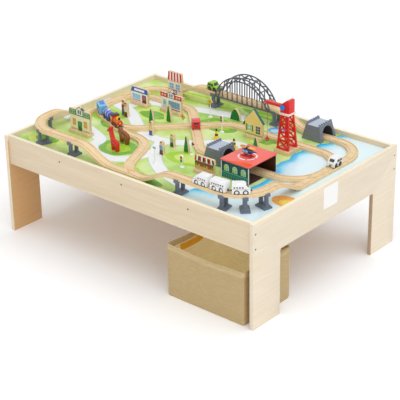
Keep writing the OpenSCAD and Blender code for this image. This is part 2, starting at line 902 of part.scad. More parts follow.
module arch_bridge() {
  middle = ahead(bridge_start, bridge_length / 2);
  rib_y = half_track + rib_gap;
  floor_z = board_top + raised_rise - floor_bar_height;
  color("dimgray")
    at_pose(middle, floor_z) {
      for (side = [-1, 1])
        translate([0, side * (rib_y + rib_thickness / 2) + rib_thickness / 2, 0])
          rotate([90, 0, 0]) linear_extrude(rib_thickness) arch_side();
      for (a = tie_angles)
        translate([arch_radius * sin(a), 0, arch_radius * cos(a) - arch_drop - chord_height])
          centred_box([chord_height, 2 * rib_y + rib_thickness, chord_height * cos(a)]);
      for (share = floor_bar_shares)
        translate([share * bridge_length, 0, 0])
          centred_box([floor_bar_width, 2 * rib_y + rib_thickness, floor_bar_height]);
    }
}

// Outline of a wall that leans in on both sides
module leaning_wall(foot, top) {
  polygon([[-foot / 2, 0], [foot / 2, 0], [top / 2, tunnel_height], [-top / 2, tunnel_height]]);
}

// Tunnels: all four walls lean in, with a battlement over each mouth
module tunnel(p) {
  arch = tunnel_mouth_share * tunnel_width / 2;
  spring = tunnel_mouth_rise_share * tunnel_height - arch;
  crown_length = tunnel_crown_share * tunnel_length;
  crown_width = tunnel_top_share * tunnel_width;
  merlon_step = crown_width / merlon_count;
  at_pose(p, board_top) {
    intersection() {
      translate([-tunnel_length / 2, 0, 0]) rotate([90, 0, 90])
        linear_extrude(tunnel_length)
          difference() {
            leaning_wall(tunnel_width, crown_width);
            translate([-arch, -overrun]) square([2 * arch, spring + overrun]);
            translate([0, spring]) circle(arch);
          }
      rotate([90, 0, 0])
        linear_extrude(tunnel_width + 2 * overrun, center = true) leaning_wall(tunnel_length, crown_length);
    }
    for (end = [-1, 1])
      translate([end * (crown_length - merlon_thickness) / 2, 0, tunnel_height]) {
        centred_box([merlon_thickness, crown_width, parapet_height]);
        for (i = [0:merlon_count - 1])
          translate([0, (i - (merlon_count - 1) / 2) * merlon_step, parapet_height])
            centred_box([merlon_thickness, merlon_step - merlon_gap, merlon_height]);
      }
  }
}

right_tunnel = ahead(back_ramp_low, tunnel_lap - tunnel_length / 2);
left_tunnel = ahead(cross_bend, -tunnel_length / 2);

module tunnels() {
  color("slategray") {
    tunnel(right_tunnel);
    tunnel(left_tunnel);
  }
}

// Crane
crane_x = crane_x_share * layout_length;
crane_y = middle_y - half_track - crane_track_gap - crane_base_width / 2;
tower_bottom = board_top + crane_base_height;
collar_bottom = tower_bottom + tower_height;
head_bottom = collar_bottom + collar_height + seat_gap;
jib_bottom = head_bottom + jib_rise;

module crane_base() {
  color("burlywood")
    translate([crane_x, crane_y, board_top])
      centred_box([crane_base_length, crane_base_width, crane_base_height]);
}

// One lattice frame, drawn flat
module lattice() {
  function half_at(z) = (tower_foot + (tower_top - tower_foot) * z / tower_height) / 2;
  bay = (tower_height - tower_bar) / tower_bays;
  difference() {
    polygon([[-half_at(0), 0], [half_at(0), 0], [half_at(tower_height), tower_height],
      [-half_at(tower_height), tower_height]]);
    for (i = [0:tower_bays - 1]) {
      low = i * bay + tower_bar;
      high = (i + 1) * bay;
      polygon([[tower_bar - half_at(low), low], [half_at(low) - tower_bar, low],
        [half_at(high) - tower_bar, high], [tower_bar - half_at(high), high]]);
    }
  }
  for (i = [0:tower_bays - 1]) {
    low = i * bay + tower_bar / 2;
    high = (i + 1) * bay + tower_bar / 2;
    for (side = [-1, 1])
      bar([side * (half_at(low) - tower_bar / 2), low], [-side * (half_at(high) - tower_bar / 2), high],
        tower_bar * tower_lace_share);
  }
}

// A front and a back frame that lean together, open at the sides
module crane_tower() {
  lean = atan2((tower_foot - tower_top) / 2, tower_height);
  color("red")
    translate([crane_x, crane_y, 0])
      intersection() {
        translate([0, 0, tower_bottom])
          for (turn = [0, 180])
            rotate([0, 0, turn])
              translate([0, -tower_foot / 2, 0]) rotate([90 - lean, 0, 0])
                translate([0, 0, -tower_panel]) linear_extrude(tower_panel) lattice();
        translate([0, 0, tower_bottom])
          centred_box([tower_foot, tower_foot, tower_height - tower_panel * sin(lean)]);
      }
  color("burlywood")
    translate([crane_x, crane_y, collar_bottom - tower_panel * sin(lean)])
      difference() {
        centred_box([collar_side, collar_side, collar_height + tower_panel * sin(lean)]);
        cylinder(h = collar_height + 2 * tower_panel, r = swivel_radius + bore_gap);
      }
}

module crane_head() {
  jib_end = jib_reach + jib_tip;
  color("red")
    translate([crane_x, crane_y, head_bottom])
      difference() {
        union() {
          rotate([90, 0, 0])
            linear_extrude(head_width, center = true)
              polygon([[-head_length / 2, 0], [head_length / 2, 0], [head_length / 2, head_height],
                [head_length / 2 - head_crown_share * head_length, head_height],
                [-head_length / 2, head_front_share * head_height]]);
          translate([-jib_end, -jib_width / 2, jib_rise])
            cube([jib_end, jib_width, jib_thickness]);
          translate([0, 0, -collar_height])
            cylinder(h = collar_height + overrun, r = swivel_radius);
        }
        translate([-jib_reach, 0, jib_rise - overrun])
          cylinder(h = jib_thickness + 2 * overrun, r = string_hole_radius);
        translate([winch_offset, 0, winch_rise]) rotate([90, 0, 0])
          cylinder(h = head_width + 2 * overrun, r = winch_radius + bore_gap, center = true);
      }
}

module winch_knob() {
  color("dodgerblue")
    translate([crane_x + winch_offset, crane_y - head_width / 2, head_bottom + winch_rise])
      rotate([90, 0, 0]) {
        translate([0, 0, seat_gap]) cylinder(h = knob_thickness, r = knob_radius);
        translate([0, 0, -head_width]) cylinder(h = head_width + seat_gap + overrun, r = winch_radius);
      }
}

module hoist_string() {
  color("saddlebrown")
    translate([crane_x - jib_reach, crane_y, jib_bottom - string_length])
      cylinder(h = string_length, r = string_radius, $fn = 24);
}

module crane_hook() {
  color("red")
    translate([crane_x - jib_reach, crane_y, jib_bottom - string_length]) {
      translate([0, 0, -hook_neck_height]) cylinder(h = hook_neck_height, r = hook_neck_radius);
      translate([0, 0, -hook_neck_height - hook_radius * hook_seat_share]) sphere(hook_radius);
    }
}

// Engine shed over the track and the helicopter on its roof
shed_x = shed_mouth_x + tunnel_length + shed_start_gap + shed_length / 2;
shed_middle_y = shed_y + (shed_track_share - 0.5) * shed_width;

module engine_shed() {
  color("darkslategray")
    translate([shed_x, shed_middle_y, board_top])
      for (side = [-1, 1])
        translate([0, side * (shed_width - shed_wall) / 2, 0])
          centred_box([shed_length, shed_wall, shed_height - shed_wall]);
}

module shed_roof() {
  color("salmon")
    translate([shed_x, shed_middle_y, board_top + shed_height - shed_wall])
      centred_box([shed_length + 2 * roof_overhang, shed_width + 2 * roof_overhang, shed_wall]);
}

heli_x = shed_x + (heli_x_share - 0.5) * shed_length;
heli_y = shed_middle_y + (heli_y_share - 0.5) * shed_width;
heli_bottom = board_top + shed_height;
mast_top = heli_bottom + heli_skid_height + heli_height + mast_height;

module helicopter() {
  translate([heli_x, heli_y, heli_bottom]) {
    color("red")
      for (side = [-1, 1])
        translate([0, side * heli_skid_spacing / 2, 0])
          centred_box([heli_length, heli_skid_width, heli_skid_height]);
    color("navy")
      translate([0, 0, heli_skid_height]) {
        intersection() {
          centred_box([heli_length, heli_width, heli_height]);
          translate([0, 0, heli_height / 2]) sphere(heli_length / 2);
        }
        translate([heli_length / 2 - overrun + heli_tail_length / 2 - heli_tail_side, 0,
            heli_height / 2])
          centred_box([heli_tail_length, heli_tail_side, heli_tail_side]);
        cylinder(h = heli_height + mast_height, r = mast_radius);
      }
  }
}

module helicopter_rotor() {
  color("orange")
    translate([heli_x, heli_y, mast_top - rotor_thickness])
      difference() {
        union() {
          centred_box([rotor_length, rotor_width, rotor_thickness]);
          cylinder(h = rotor_thickness, r = rotor_hub_radius);
        }
        translate([0, 0, -overrun]) cylinder(h = rotor_thickness + 2 * overrun, r = mast_radius + bore_gap);
      }
}

// House fronts with their wooden feet
module house(place, width, height, outline) {
  at_share(place, board_top) {
    translate([0, 0, house_foot_height])
      standing(outline, [width, height - house_foot_height], front_thickness);
    centred_box([width, house_foot_depth, house_foot_height]);
  }
}

module house_fronts() {
  color("forestgreen")
    house(green_house_shares, green_house_width, green_house_height, gable_outline_shares);
  color("royalblue")
    house(blue_house_shares, blue_house_width, blue_house_height, shop_outline_shares);
  color("firebrick")
    house(red_house_shares, red_house_width, red_house_height, gable_outline_shares);
  color("tomato")
    house(awning_house_shares, awning_house_width, awning_house_height, shop_outline_shares);
  color("khaki")
    house(yellow_house_shares, yellow_house_width, yellow_house_height, peak_outline_shares);
  color("white")
    house(stall_shares, stall_width, stall_height, shop_outline_shares);
}

// Trees, figures and animals
module fir(share) {
  standing(fir_outline_shares, [2 * fir_radius, share * fir_height], block_thickness);
}

module bush(share) {
  radius = share * bush_radius;
  standing(bush_outline_shares, [2 * radius, 2 * radius], block_thickness);
}

module trees() {
  color("green") {
    for (i = [0:len(fir_shares) - 1]) at_share(fir_shares[i], board_top) fir(fir_size_shares[i]);
    for (i = [0:len(bush_shares) - 1]) at_share(bush_shares[i], board_top) bush(bush_size_shares[i]);
  }
}

module figure(height) {
  standing(figure_outline_shares, [2 * figure_radius, height], figure_thickness);
}

module figures() {
  color("burlywood")
    for (i = [0:len(figure_shares) - 1])
      at_share(figure_shares[i], board_top) figure(figure_size_shares[i] * figure_height);
}

module animals() {
  color("crimson")
    at_share(giraffe_shares, board_top)
      rotate([0, 0, -animal_turn])
        standing(giraffe_outline_shares, [giraffe_length, giraffe_height], animal_thickness);
  color("saddlebrown")
    at_share(bear_shares, board_top)
      rotate([0, 0, -animal_turn])
        standing(bear_outline_shares, [bear_length, bear_height], animal_thickness);
}

// Signs, signals, a post and a flag on round bases
module sign_pole(height) {
  cylinder(h = sign_base_height, r = sign_base_radius);
  cylinder(h = height, r = pole_radius);
}

module diamond_sign(height) {
  sign_pole(height - diamond_side);
  translate([0, 0, height - diamond_side / sqrt(2)]) rotate([90, 0, 0])
    linear_extrude(plate_thickness, center = true) rotate([0, 0, 45]) square(diamond_side, center = true);
}

module signal(height) {
  sign_pole(height - signal_height / 2);
  translate([0, 0, height - signal_height]) {
    centred_box([signal_width, signal_depth, signal_height]);
    for (share = lamp_shares)
      translate([0, -signal_depth / 2, share * signal_height]) rotate([90, 0, 0])
        cylinder(h = lamp_depth, r = lamp_radius);
  }
}

module road_signs() {
  color("gold")
    for (i = [0:len(diamond_shares) - 1])
      at_share(diamond_shares[i], board_top) diamond_sign(diamond_size_shares[i] * sign_height);
  color("black")
    for (i = [0:len(signal_shares) - 1])
      at_share(signal_shares[i], board_top) signal(signal_size_shares[i] * signal_post_height);
  color("white")
    at_share(post_shares, board_top) sign_pole(post_height);
  color("darkred")
    at_share(flag_shares, board_top) {
      sign_pole(flag_height);
      translate([pole_radius / 2, 0, flag_height - flag_side]) rotate([90, 0, 0])
        linear_extrude(plate_thickness / 2, center = true)
          polygon([[0, 0], [flag_side, flag_side / 2], [0, flag_side]]);
    }
}

module traffic_cones() {
  color("yellow")
    for (i = [0:len(cone_shares) - 1])
      at_share(cone_shares[i], board_top) {
        centred_box([cone_base_side, cone_base_side, cone_base_height]);
        translate([0, 0, cone_base_height])
          cylinder(h = cone_size_shares[i] * cone_height - cone_base_height, r1 = cone_foot_radius,
            r2 = cone_top_radius);
      }
}

// Vehicles: each has a body on two axles, with X along its heading and Z from the top of the track
module wheel_set(axle, top) {
  wheel_reach = half_gauge + wheel_width / 2;
  color("black")
    at_pose(axle, top + axle_rise) rotate([90, 0, 0]) {
      cylinder(h = 2 * (wheel_reach + axle_stub), r = axle_radius, center = true);
      for (side = [-1, 1]) {
        translate([0, 0, side * half_gauge])
          cylinder(h = wheel_width, r = wheel_radius, center = true);
        translate([0, 0, side * (wheel_reach + axle_stub / 2 - overrun / 2)])
          cylinder(h = axle_stub + overrun, r = hub_radius, center = true);
      }
    }
}

// Space kept clear for the wheels beside the chassis, and the axle bores
module wheel_room(base) {
  for (end = [-1, 1])
    translate([end * base / 2, 0, axle_rise]) rotate([90, 0, 0]) {
      cylinder(h = car_width + 2 * overrun, r = axle_radius + bore_gap, center = true);
      for (side = [-1, 1])
        translate([0, 0, side * (chassis_width + car_width) / 2])
          cylinder(h = car_width, r = wheel_radius + arch_gap, center = true);
    }
}

module chassis(length) {
  translate([0, 0, chassis_rise]) centred_box([length, chassis_width, chassis_height]);
  for (end = [-1, 1])
    translate([end * (length + coupler_length) / 2, 0, coupler_rise]) rotate([0, 90, 0])
      cylinder(h = coupler_length, r = coupler_radius, center = true);
}

// Rounded roof section along the car
module coach_shell(height) {
  straight = height - roof_corner;
  translate([-car_length / 2, 0, chassis_rise]) rotate([90, 0, 90])
    linear_extrude(car_length) {
      translate([-car_width / 2, 0]) square([car_width, straight]);
      translate([roof_corner - car_width / 2, 0]) square([car_width - 2 * roof_corner, height]);
      for (side = [-1, 1])
        translate([side * (car_width / 2 - roof_corner), straight]) circle(roof_corner);
    }
}

module car_profile(outline, length = car_length, height = car_height) {
  intersection() {
    coach_shell(height - chassis_rise);
    translate([0, 0, chassis_rise])
      standing(outline, [length, height - chassis_rise], car_width + 2 * overrun);
  }
}

module vehicle(axles, top, length = car_length, base = wheel_base) {
  at_pose(between(axles[0], axles[1]), top)
    difference() {
      union() {
        chassis(length);
        children();
      }
      wheel_room(base);
    }
}

module express_nose() {
  color("white") vehicle(express_axles[0], raised_top) car_profile(nose_outline_shares);
}

module express_coach() {
  color("white") vehicle(express_axles[1], raised_top) coach_shell(car_height - chassis_rise);
}

module express_tail() {
  color("white") vehicle(express_axles[2], raised_top) mirror([1, 0, 0]) car_profile(nose_outline_shares);
}

module cargo_engine() {
  color("red")
    vehicle(cargo_axle_pairs[0], track_top) {
      translate([engine_cab_length / 2 - car_length / 2, 0, chassis_rise + chassis_height / 2])
        centred_box([engine_cab_length, car_width, car_height - chassis_rise - chassis_height / 2]);
      translate([-car_length / 2 + overrun, 0, boiler_rise]) rotate([0, 90, 0])
        cylinder(h = car_length - overrun, r = boiler_radius);
      translate([dome_place_share * car_length, 0, boiler_rise])
        cylinder(h = boiler_radius + dome_height, r = dome_radius);
    }
}

module cargo_wagon() {
  color("slateblue")
    vehicle(cargo_axle_pairs[1], track_top)
      translate([-car_length / 2, 0, tank_rise]) rotate([0, 90, 0])
        cylinder(h = car_length, r = tank_radius);
}

module cargo_cab() {
  color("skyblue")
    vehicle(cargo_axle_pairs[2], track_top)
      difference() {
        coach_shell(car_height - chassis_rise);
        translate([0, 0, cab_sill_share * car_height])
          centred_box([car_length - 2 * cab_post, car_width + 2 * overrun, cab_window_share * car_height]);
      }
}

module white_car() {
  color("white") vehicle(white_car_axles, track_top, single_length, single_base)
    mirror([1, 0, 0]) car_profile(nose_outline_shares, single_length, single_height);
}

module lime_car() {
  color("yellowgreen") vehicle(lime_car_axles, raised_top, single_length, single_base)
    car_profile(car_outline_shares, single_length, single_height);
}

module red_car() {
  color("red") vehicle(red_car_axles, track_top, single_length, single_base)
    car_profile(van_outline_shares, single_length, single_height);
}

// An axle lies half its car's wheel base from the middle, square to the car's heading
function front_axle(axles, base = wheel_base) = ahead(between(axles[0], axles[1]), base / 2);
function rear_axle(axles, base = wheel_base) = ahead(between(axles[0], axles[1]), -base / 2);

module express_nose_front_wheels() {
  wheel_set(front_axle(express_axles[0]), raised_top);
}

module express_nose_rear_wheels() {
  wheel_set(rear_axle(express_axles[0]), raised_top);
}

module express_coach_front_wheels() {
  wheel_set(front_axle(express_axles[1]), raised_top);
}

module express_coach_rear_wheels() {
  wheel_set(rear_axle(express_axles[1]), raised_top);
}

module express_tail_front_wheels() {
  wheel_set(front_axle(express_axles[2]), raised_top);
}

module express_tail_rear_wheels() {
  wheel_set(rear_axle(express_axles[2]), raised_top);
}

module cargo_engine_front_wheels() {
  wheel_set(front_axle(cargo_axle_pairs[0]), track_top);
}

module cargo_engine_rear_wheels() {
  wheel_set(rear_axle(cargo_axle_pairs[0]), track_top);
}

module cargo_wagon_front_wheels() {
  wheel_set(front_axle(cargo_axle_pairs[1]), track_top);
}

module cargo_wagon_rear_wheels() {
  wheel_set(rear_axle(cargo_axle_pairs[1]), track_top);
}

module cargo_cab_front_wheels() {
  wheel_set(front_axle(cargo_axle_pairs[2]), track_top);
}

module cargo_cab_rear_wheels() {
  wheel_set(rear_axle(cargo_axle_pairs[2]), track_top);
}

module white_car_front_wheels() {
  wheel_set(front_axle(white_car_axles, single_base), track_top);
}

module white_car_rear_wheels() {
  wheel_set(rear_axle(white_car_axles, single_base), track_top);
}

module lime_car_front_wheels() {
  wheel_set(front_axle(lime_car_axles, single_base), raised_top);
}

module lime_car_rear_wheels() {
  wheel_set(rear_axle(lime_car_axles, single_base), raised_top);
}

module red_car_front_wheels() {
  wheel_set(front_axle(red_car_axles, single_base), track_top);
}

module red_car_rear_wheels() {
  wheel_set(rear_axle(red_car_axles, single_base), track_top);
}

left_end_panel();
right_end_panel();
front_apron();
back_apron();
play_board();
board_battens();
frame_screws();
storage_bin();
bin_straps();
on_board() straight_tracks();
on_board() curved_tracks();
on_board() switch_tracks();
on_board() ramp_tracks();
on_board() bridge_piers();
on_board() arch_bridge();
on_board() tunnels();
on_board() crane_base();
on_board() crane_tower();
on_board() crane_head();
on_board() winch_knob();
on_board() hoist_string();
on_board() crane_hook();
on_board() engine_shed();
on_board() shed_roof();
on_board() helicopter();
on_board() helicopter_rotor();
on_board() house_fronts();
on_board() trees();
on_board() figures();
on_board() animals();
on_board() road_signs();
on_board() traffic_cones();
on_board() express_nose();
on_board() express_nose_front_wheels();
on_board() express_nose_rear_wheels();
on_board() express_coach();
on_board() express_coach_front_wheels();
on_board() express_coach_rear_wheels();
on_board() express_tail();
on_board() express_tail_front_wheels();
on_board() express_tail_rear_wheels();
on_board() cargo_engine();
on_board() cargo_engine_front_wheels();
on_board() cargo_engine_rear_wheels();
on_board() cargo_wagon();
on_board() cargo_wagon_front_wheels();
on_board() cargo_wagon_rear_wheels();
on_board() cargo_cab();
on_board() cargo_cab_front_wheels();
on_board() cargo_cab_rear_wheels();
on_board() white_car();
on_board() white_car_front_wheels();
on_board() white_car_rear_wheels();
on_board() lime_car();
on_board() lime_car_front_wheels();
on_board() lime_car_rear_wheels();
on_board() red_car();
on_board() red_car_front_wheels();
on_board() red_car_rear_wheels();
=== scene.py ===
import json
import math
import bmesh
import bpy
from mathutils import Matrix, Vector
from mathutils.geometry import delaunay_2d_cdt


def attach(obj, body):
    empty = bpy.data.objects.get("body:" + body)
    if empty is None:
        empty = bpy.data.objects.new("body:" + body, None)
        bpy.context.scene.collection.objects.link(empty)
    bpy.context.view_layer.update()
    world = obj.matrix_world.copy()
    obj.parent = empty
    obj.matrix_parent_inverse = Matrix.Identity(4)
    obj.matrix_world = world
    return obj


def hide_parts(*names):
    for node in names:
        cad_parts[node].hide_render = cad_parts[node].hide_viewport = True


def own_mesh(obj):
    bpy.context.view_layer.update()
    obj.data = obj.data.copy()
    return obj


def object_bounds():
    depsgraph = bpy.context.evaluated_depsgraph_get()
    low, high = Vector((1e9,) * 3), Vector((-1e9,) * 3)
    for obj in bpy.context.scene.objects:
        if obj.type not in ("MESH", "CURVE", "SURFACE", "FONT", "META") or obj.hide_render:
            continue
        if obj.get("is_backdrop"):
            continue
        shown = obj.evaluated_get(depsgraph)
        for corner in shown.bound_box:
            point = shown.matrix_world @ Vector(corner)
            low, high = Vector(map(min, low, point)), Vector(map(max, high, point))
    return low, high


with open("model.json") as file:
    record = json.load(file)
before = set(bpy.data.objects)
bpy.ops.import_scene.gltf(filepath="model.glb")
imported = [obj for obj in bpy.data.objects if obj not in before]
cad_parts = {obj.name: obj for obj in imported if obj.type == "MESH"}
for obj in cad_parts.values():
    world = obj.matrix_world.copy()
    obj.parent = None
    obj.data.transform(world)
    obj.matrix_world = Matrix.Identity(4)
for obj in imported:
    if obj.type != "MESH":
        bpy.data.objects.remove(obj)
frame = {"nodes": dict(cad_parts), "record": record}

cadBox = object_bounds()
print("frame loaded:", len(frame["nodes"]), "nodes")

studio = {
    "cameraPlace": (3.1192, -3.5697, 2.4425), "azimuth": 41.11, "elevation": 25.8, "roll": -1.0, "lens": 124.9,
    "skyStrength": 0.5, "skyTone": (1.0, 0.955, 0.9), "floorSize": 14.0, "floorTone": 0.99, "floorGlow": 0.1,
    "lamps": {"softKey": (1.42, (0.96, 1.03, 1.12), 64, (0.28, 0.0, 0.96)),
              "lowFill": (0.72, (1.0, 0.98, 0.95), 50, (0.68, -0.66, 0.3))},
}


def take(group, names):  # several measures of a piece at once
    return [group[name] for name in names.split()]


def show(name, data):  # a new object in the scene
    made = bpy.data.objects.new(name, data)
    bpy.context.collection.objects.link(made)
    return made


def tone(red, green, blue):  # 0 to 255 as seen on screen
    parts = [c / 255 for c in (red, green, blue)]
    return tuple(c / 12.92 if c < 0.04 else ((c + 0.055) / 1.055) ** 2.4 for c in parts) + (1.0,)


def shade(colour, factor):
    return tuple(min(1.0, c * factor) for c in colour[:3]) + (1.0,)


def grey(value):
    return (value, value, value, 1.0)


def fill(tree, node, sockets):  # sockets by name or number, each a link or a fixed value
    for key, value in sockets.items():
        if hasattr(value, "is_linked"):
            tree.links.new(value, node.inputs[key])
        else:
            node.inputs[key].default_value = value


def addNode(tree, kind, sockets, **settings):
    node = tree.nodes.new(kind)
    for key, value in settings.items():
        setattr(node, key, value)
    fill(tree, node, sockets)
    return node


def startFinish(name, rough):
    finish = bpy.data.materials.new(name)
    finish.use_nodes = True
    shader = finish.node_tree.nodes["Principled BSDF"]
    fill(finish.node_tree, shader, {"Roughness": rough})
    return finish, finish.node_tree, shader


def mathOn(tree, kind, *values):
    return addNode(tree, "ShaderNodeMath", dict(enumerate(values)), operation=kind).outputs[0]


def over(tree, value, limit):  # 1 where the value is past the limit
    return mathOn(tree, "GREATER_THAN", value, limit)


def below(tree, value, limit):
    return mathOn(tree, "LESS_THAN", value, limit)


def pointsOn(tree, stretch=(1, 1, 1)):
    spots = tree.nodes.new("ShaderNodeTexCoord").outputs["Object"]
    return addNode(tree, "ShaderNodeMapping", {"Vector": spots, "Scale": stretch}).outputs[0]


def noiseOn(tree, scale, stretch=(1, 1, 1), detail=4.0):
    sockets = {"Vector": pointsOn(tree, stretch), "Scale": scale, "Detail": detail}
    return addNode(tree, "ShaderNodeTexNoise", sockets).outputs[0]


def rampOn(tree, factor, stops):  # three parts make a screen colour
    ramp = addNode(tree, "ShaderNodeValToRGB", {0: factor})
    points = ramp.color_ramp.elements
    while len(points) < len(stops):
        points.new(0.5)
    for point, (place, colour) in zip(points, stops):
        point.position, point.color = place, tone(*colour) if len(colour) == 3 else colour
    return ramp.outputs[0]


def greysOn(tree, factor, low, dark, high, light):
    return rampOn(tree, factor, [(low, grey(dark)), (high, grey(light))])


def mottleOn(tree, factor, colour, dark, light):  # one colour in darker and lighter patches
    return rampOn(tree, factor, [(0.3, shade(tone(*colour), dark)), (0.7, shade(tone(*colour), light))])


def mixOn(tree, kind, factor, first, second):
    sockets = {0: factor, 6: first, 7: second}
    return addNode(tree, "ShaderNodeMix", sockets, data_type="RGBA", blend_type=kind).outputs[2]


def axesOn(tree, source):  # x, y, z of a position or a normal
    return addNode(tree, "ShaderNodeSeparateXYZ", {0: source}).outputs


def normalOn(tree):
    return axesOn(tree, tree.nodes.new("ShaderNodeNewGeometry").outputs["True Normal"])


def bumpOn(tree, shader, height, strength, distance):
    sockets = {"Strength": strength, "Distance": distance, "Height": height}
    fill(tree, shader, {"Normal": addNode(tree, "ShaderNodeBump", sockets).outputs[0]})


def seenRays(tree):  # 1 for what the camera sees straight, in gloss or through glass
    rays = tree.nodes.new("ShaderNodeLightPath").outputs
    straight = mathOn(tree, "MAXIMUM", rays["Is Camera Ray"], rays["Is Glossy Ray"])
    return mathOn(tree, "MAXIMUM", straight, rays["Is Transmission Ray"])


def setCamera():
    a, e, r = (math.radians(angle) for angle in take(studio, "azimuth elevation roll"))
    back = Vector((math.sin(a) * math.cos(e), -math.cos(a) * math.cos(e), math.sin(e)))
    right = Vector((math.cos(a), math.sin(a), 0))
    up = back.cross(right)
    level = math.cos(r) * right + math.sin(r) * up
    tilted = math.cos(r) * up - math.sin(r) * right
    data = bpy.data.cameras.new("photoCamera")
    data.lens = studio["lens"]
    camera = show("photoCamera", data)
    turn = Matrix((level, tilted, back)).transposed().to_4x4()
    camera.matrix_world = Matrix.Translation(studio["cameraPlace"]) @ turn
    bpy.context.scene.camera = camera


def setLight():
    scene = bpy.context.scene
    scene.view_settings.view_transform = "Standard"
    scene.world = bpy.data.worlds.new("studioSky")
    scene.world.use_nodes = True
    tree = scene.world.node_tree
    reach = {"Value": seenRays(tree), "To Min": studio["skyStrength"], "To Max": 1.0}
    strength = addNode(tree, "ShaderNodeMapRange", reach).outputs[0]
    fill(tree, tree.nodes["Background"], {"Color": studio["skyTone"] + (1,), "Strength": strength})
    for name, (energy, colour, wide, source) in studio["lamps"].items():
        lamp = bpy.data.lights.new(name, "SUN")
        lamp.energy, lamp.color, lamp.angle = energy, colour, math.radians(wide)
        key = show(name, lamp)
        key.rotation_mode = "QUATERNION"
        key.rotation_quaternion = Vector(source).to_track_quat("Z", "Y")


def setFloor():
    half = studio["floorSize"] / 2
    mesh = bpy.data.meshes.new("studioFloor")
    corners = [(-half, -half, 0), (half, -half, 0), (half, half, 0), (-half, half, 0)]
    mesh.from_pydata(corners, [], [(0, 1, 2, 3)])
    finish, tree, shader = startFinish("studioFloor", 0.9)
    fill(tree, shader, {"Base Color": grey(studio["floorTone"]), "Specular IOR Level": 0.1})
    lift = mathOn(tree, "MULTIPLY", seenRays(tree), studio["floorGlow"])  # keeps the ground white where seen
    glow = addNode(tree, "ShaderNodeEmission", {"Strength": lift})
    both = addNode(tree, "ShaderNodeAddShader", {0: shader.outputs[0], 1: glow.outputs[0]})
    fill(tree, tree.nodes["Material Output"], {"Surface": both.outputs[0]})
    mesh.materials.append(finish)
    floor = show("studioFloor", mesh)
    floor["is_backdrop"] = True


setCamera()
setLight()
setFloor()
print("camera, light and floor set")


def paint(name, colour, rough=0.4, mottle=0.05, stretch=(1, 1, 1), coat=0.0):  # brushed toy paint
    finish, tree, shader = startFinish(name, rough)
    cloud = noiseOn(tree, 55, stretch)
    fill(tree, shader, {"Base Color": mottleOn(tree, cloud, colour, 1 - mottle, 1 + mottle),
                        "Roughness": greysOn(tree, cloud, 0.25, rough - 0.06, 0.75, rough + 0.08)})
    bumpOn(tree, shader, noiseOn(tree, 700, stretch, 3), 0.14, 0.0004)
    if coat:
        fill(tree, shader, {"Coat Weight": coat, "Coat Roughness": 0.12})
    return finish


coats = {}


def coated(colour):  # one plain paint per colour, made once
    if colour not in coats:
        coats[colour] = paint("coat%02x%02x%02x" % colour, colour, 0.42, 0.04)
    return coats[colour]


def metal(name, colour, rough, mottle):
    finish = paint(name, colour, rough, mottle)
    fill(finish.node_tree, finish.node_tree.nodes["Principled BSDF"], {"Metallic": 0.9})
    return finish


def plastic(name, colour, rough=0.3):  # moulded, with a faint spark-eroded skin
    finish, tree, shader = startFinish(name, rough)
    skin = noiseOn(tree, 1900, detail=2)
    fill(tree, shader, {"Base Color": mottleOn(tree, noiseOn(tree, 30), colour, 0.97, 1.03),
                        "Roughness": greysOn(tree, skin, 0.3, rough - 0.05, 0.7, rough + 0.08)})
    bumpOn(tree, shader, skin, 0.1, 0.0002)
    return finish


# grain on one axis; rim paints upward faces paler as a painted highlight on the top edges, back and cut paint
# warm shade on hidden faces below the board
def wood(name, light, dark, along, rough=0.42, flecks=0.0, rim=None, back=None, cut=None):
    finish, tree, shader = startFinish(name, rough)
    stretch = tuple(1.0 if axis == along else 15.0 for axis in "xyz")
    fibre = noiseOn(tree, 75, stretch, 3)
    rings = noiseOn(tree, 6, stretch, 6)
    tint = rampOn(tree, rings, [(0.32, dark), (0.52, shade(tone(*light), 0.95)), (0.74, light)])
    # back and cut: painted warm shade on inner faces and cut edges below the board
    if back:  # below the board only
        x, y, z = axesOn(tree, pointsOn(tree))
        outward = over(tree, mathOn(tree, "MULTIPLY", mathOn(tree, "SIGN", x), normalOn(tree)[0]), 0.3)
        atEnd = over(tree, mathOn(tree, "ABSOLUTE", y), table["width"] / 2000 - 0.001)
        shown = mathOn(tree, "MAXIMUM", mathOn(tree, "MAXIMUM", outward, atEnd), over(tree, z, ground / 1000))
        edge = over(tree, mathOn(tree, "ABSOLUTE", normalOn(tree)[1]), 0.5)
        shadedWood = mixOn(tree, "MULTIPLY", 1.0, tint, mixOn(tree, "MIX", edge, back, cut))
        tint = mixOn(tree, "MIX", shown, shadedWood, tint)
    tint = mixOn(tree, "MULTIPLY", 0.35, tint, greysOn(tree, fibre, 0.3, 0.86, 0.62, 1.0))
    if flecks:  # short dark pores of beech
        pores = noiseOn(tree, 420, tuple(0.16 if axis == along else 1.0 for axis in "xyz"), 1)
        tint = mixOn(tree, "MULTIPLY", 1.0, tint, greysOn(tree, pores, 0.6, 1.0, 0.7, 1.0 - flecks))
    # rim: upward faces painted paler, a painted highlight
    if rim:
        tint = mixOn(tree, "MIX", over(tree, normalOn(tree)[2], 0.6), tint, tone(*rim))
    fill(tree, shader, {"Base Color": tint,
                        "Roughness": greysOn(tree, fibre, 0.25, rough + 0.1, 0.75, rough - 0.04)})
    bumpOn(tree, shader, fibre, 0.16, 0.0005)
    return finish


def startPiece():
    return {"bm": bmesh.new(), "finishes": []}


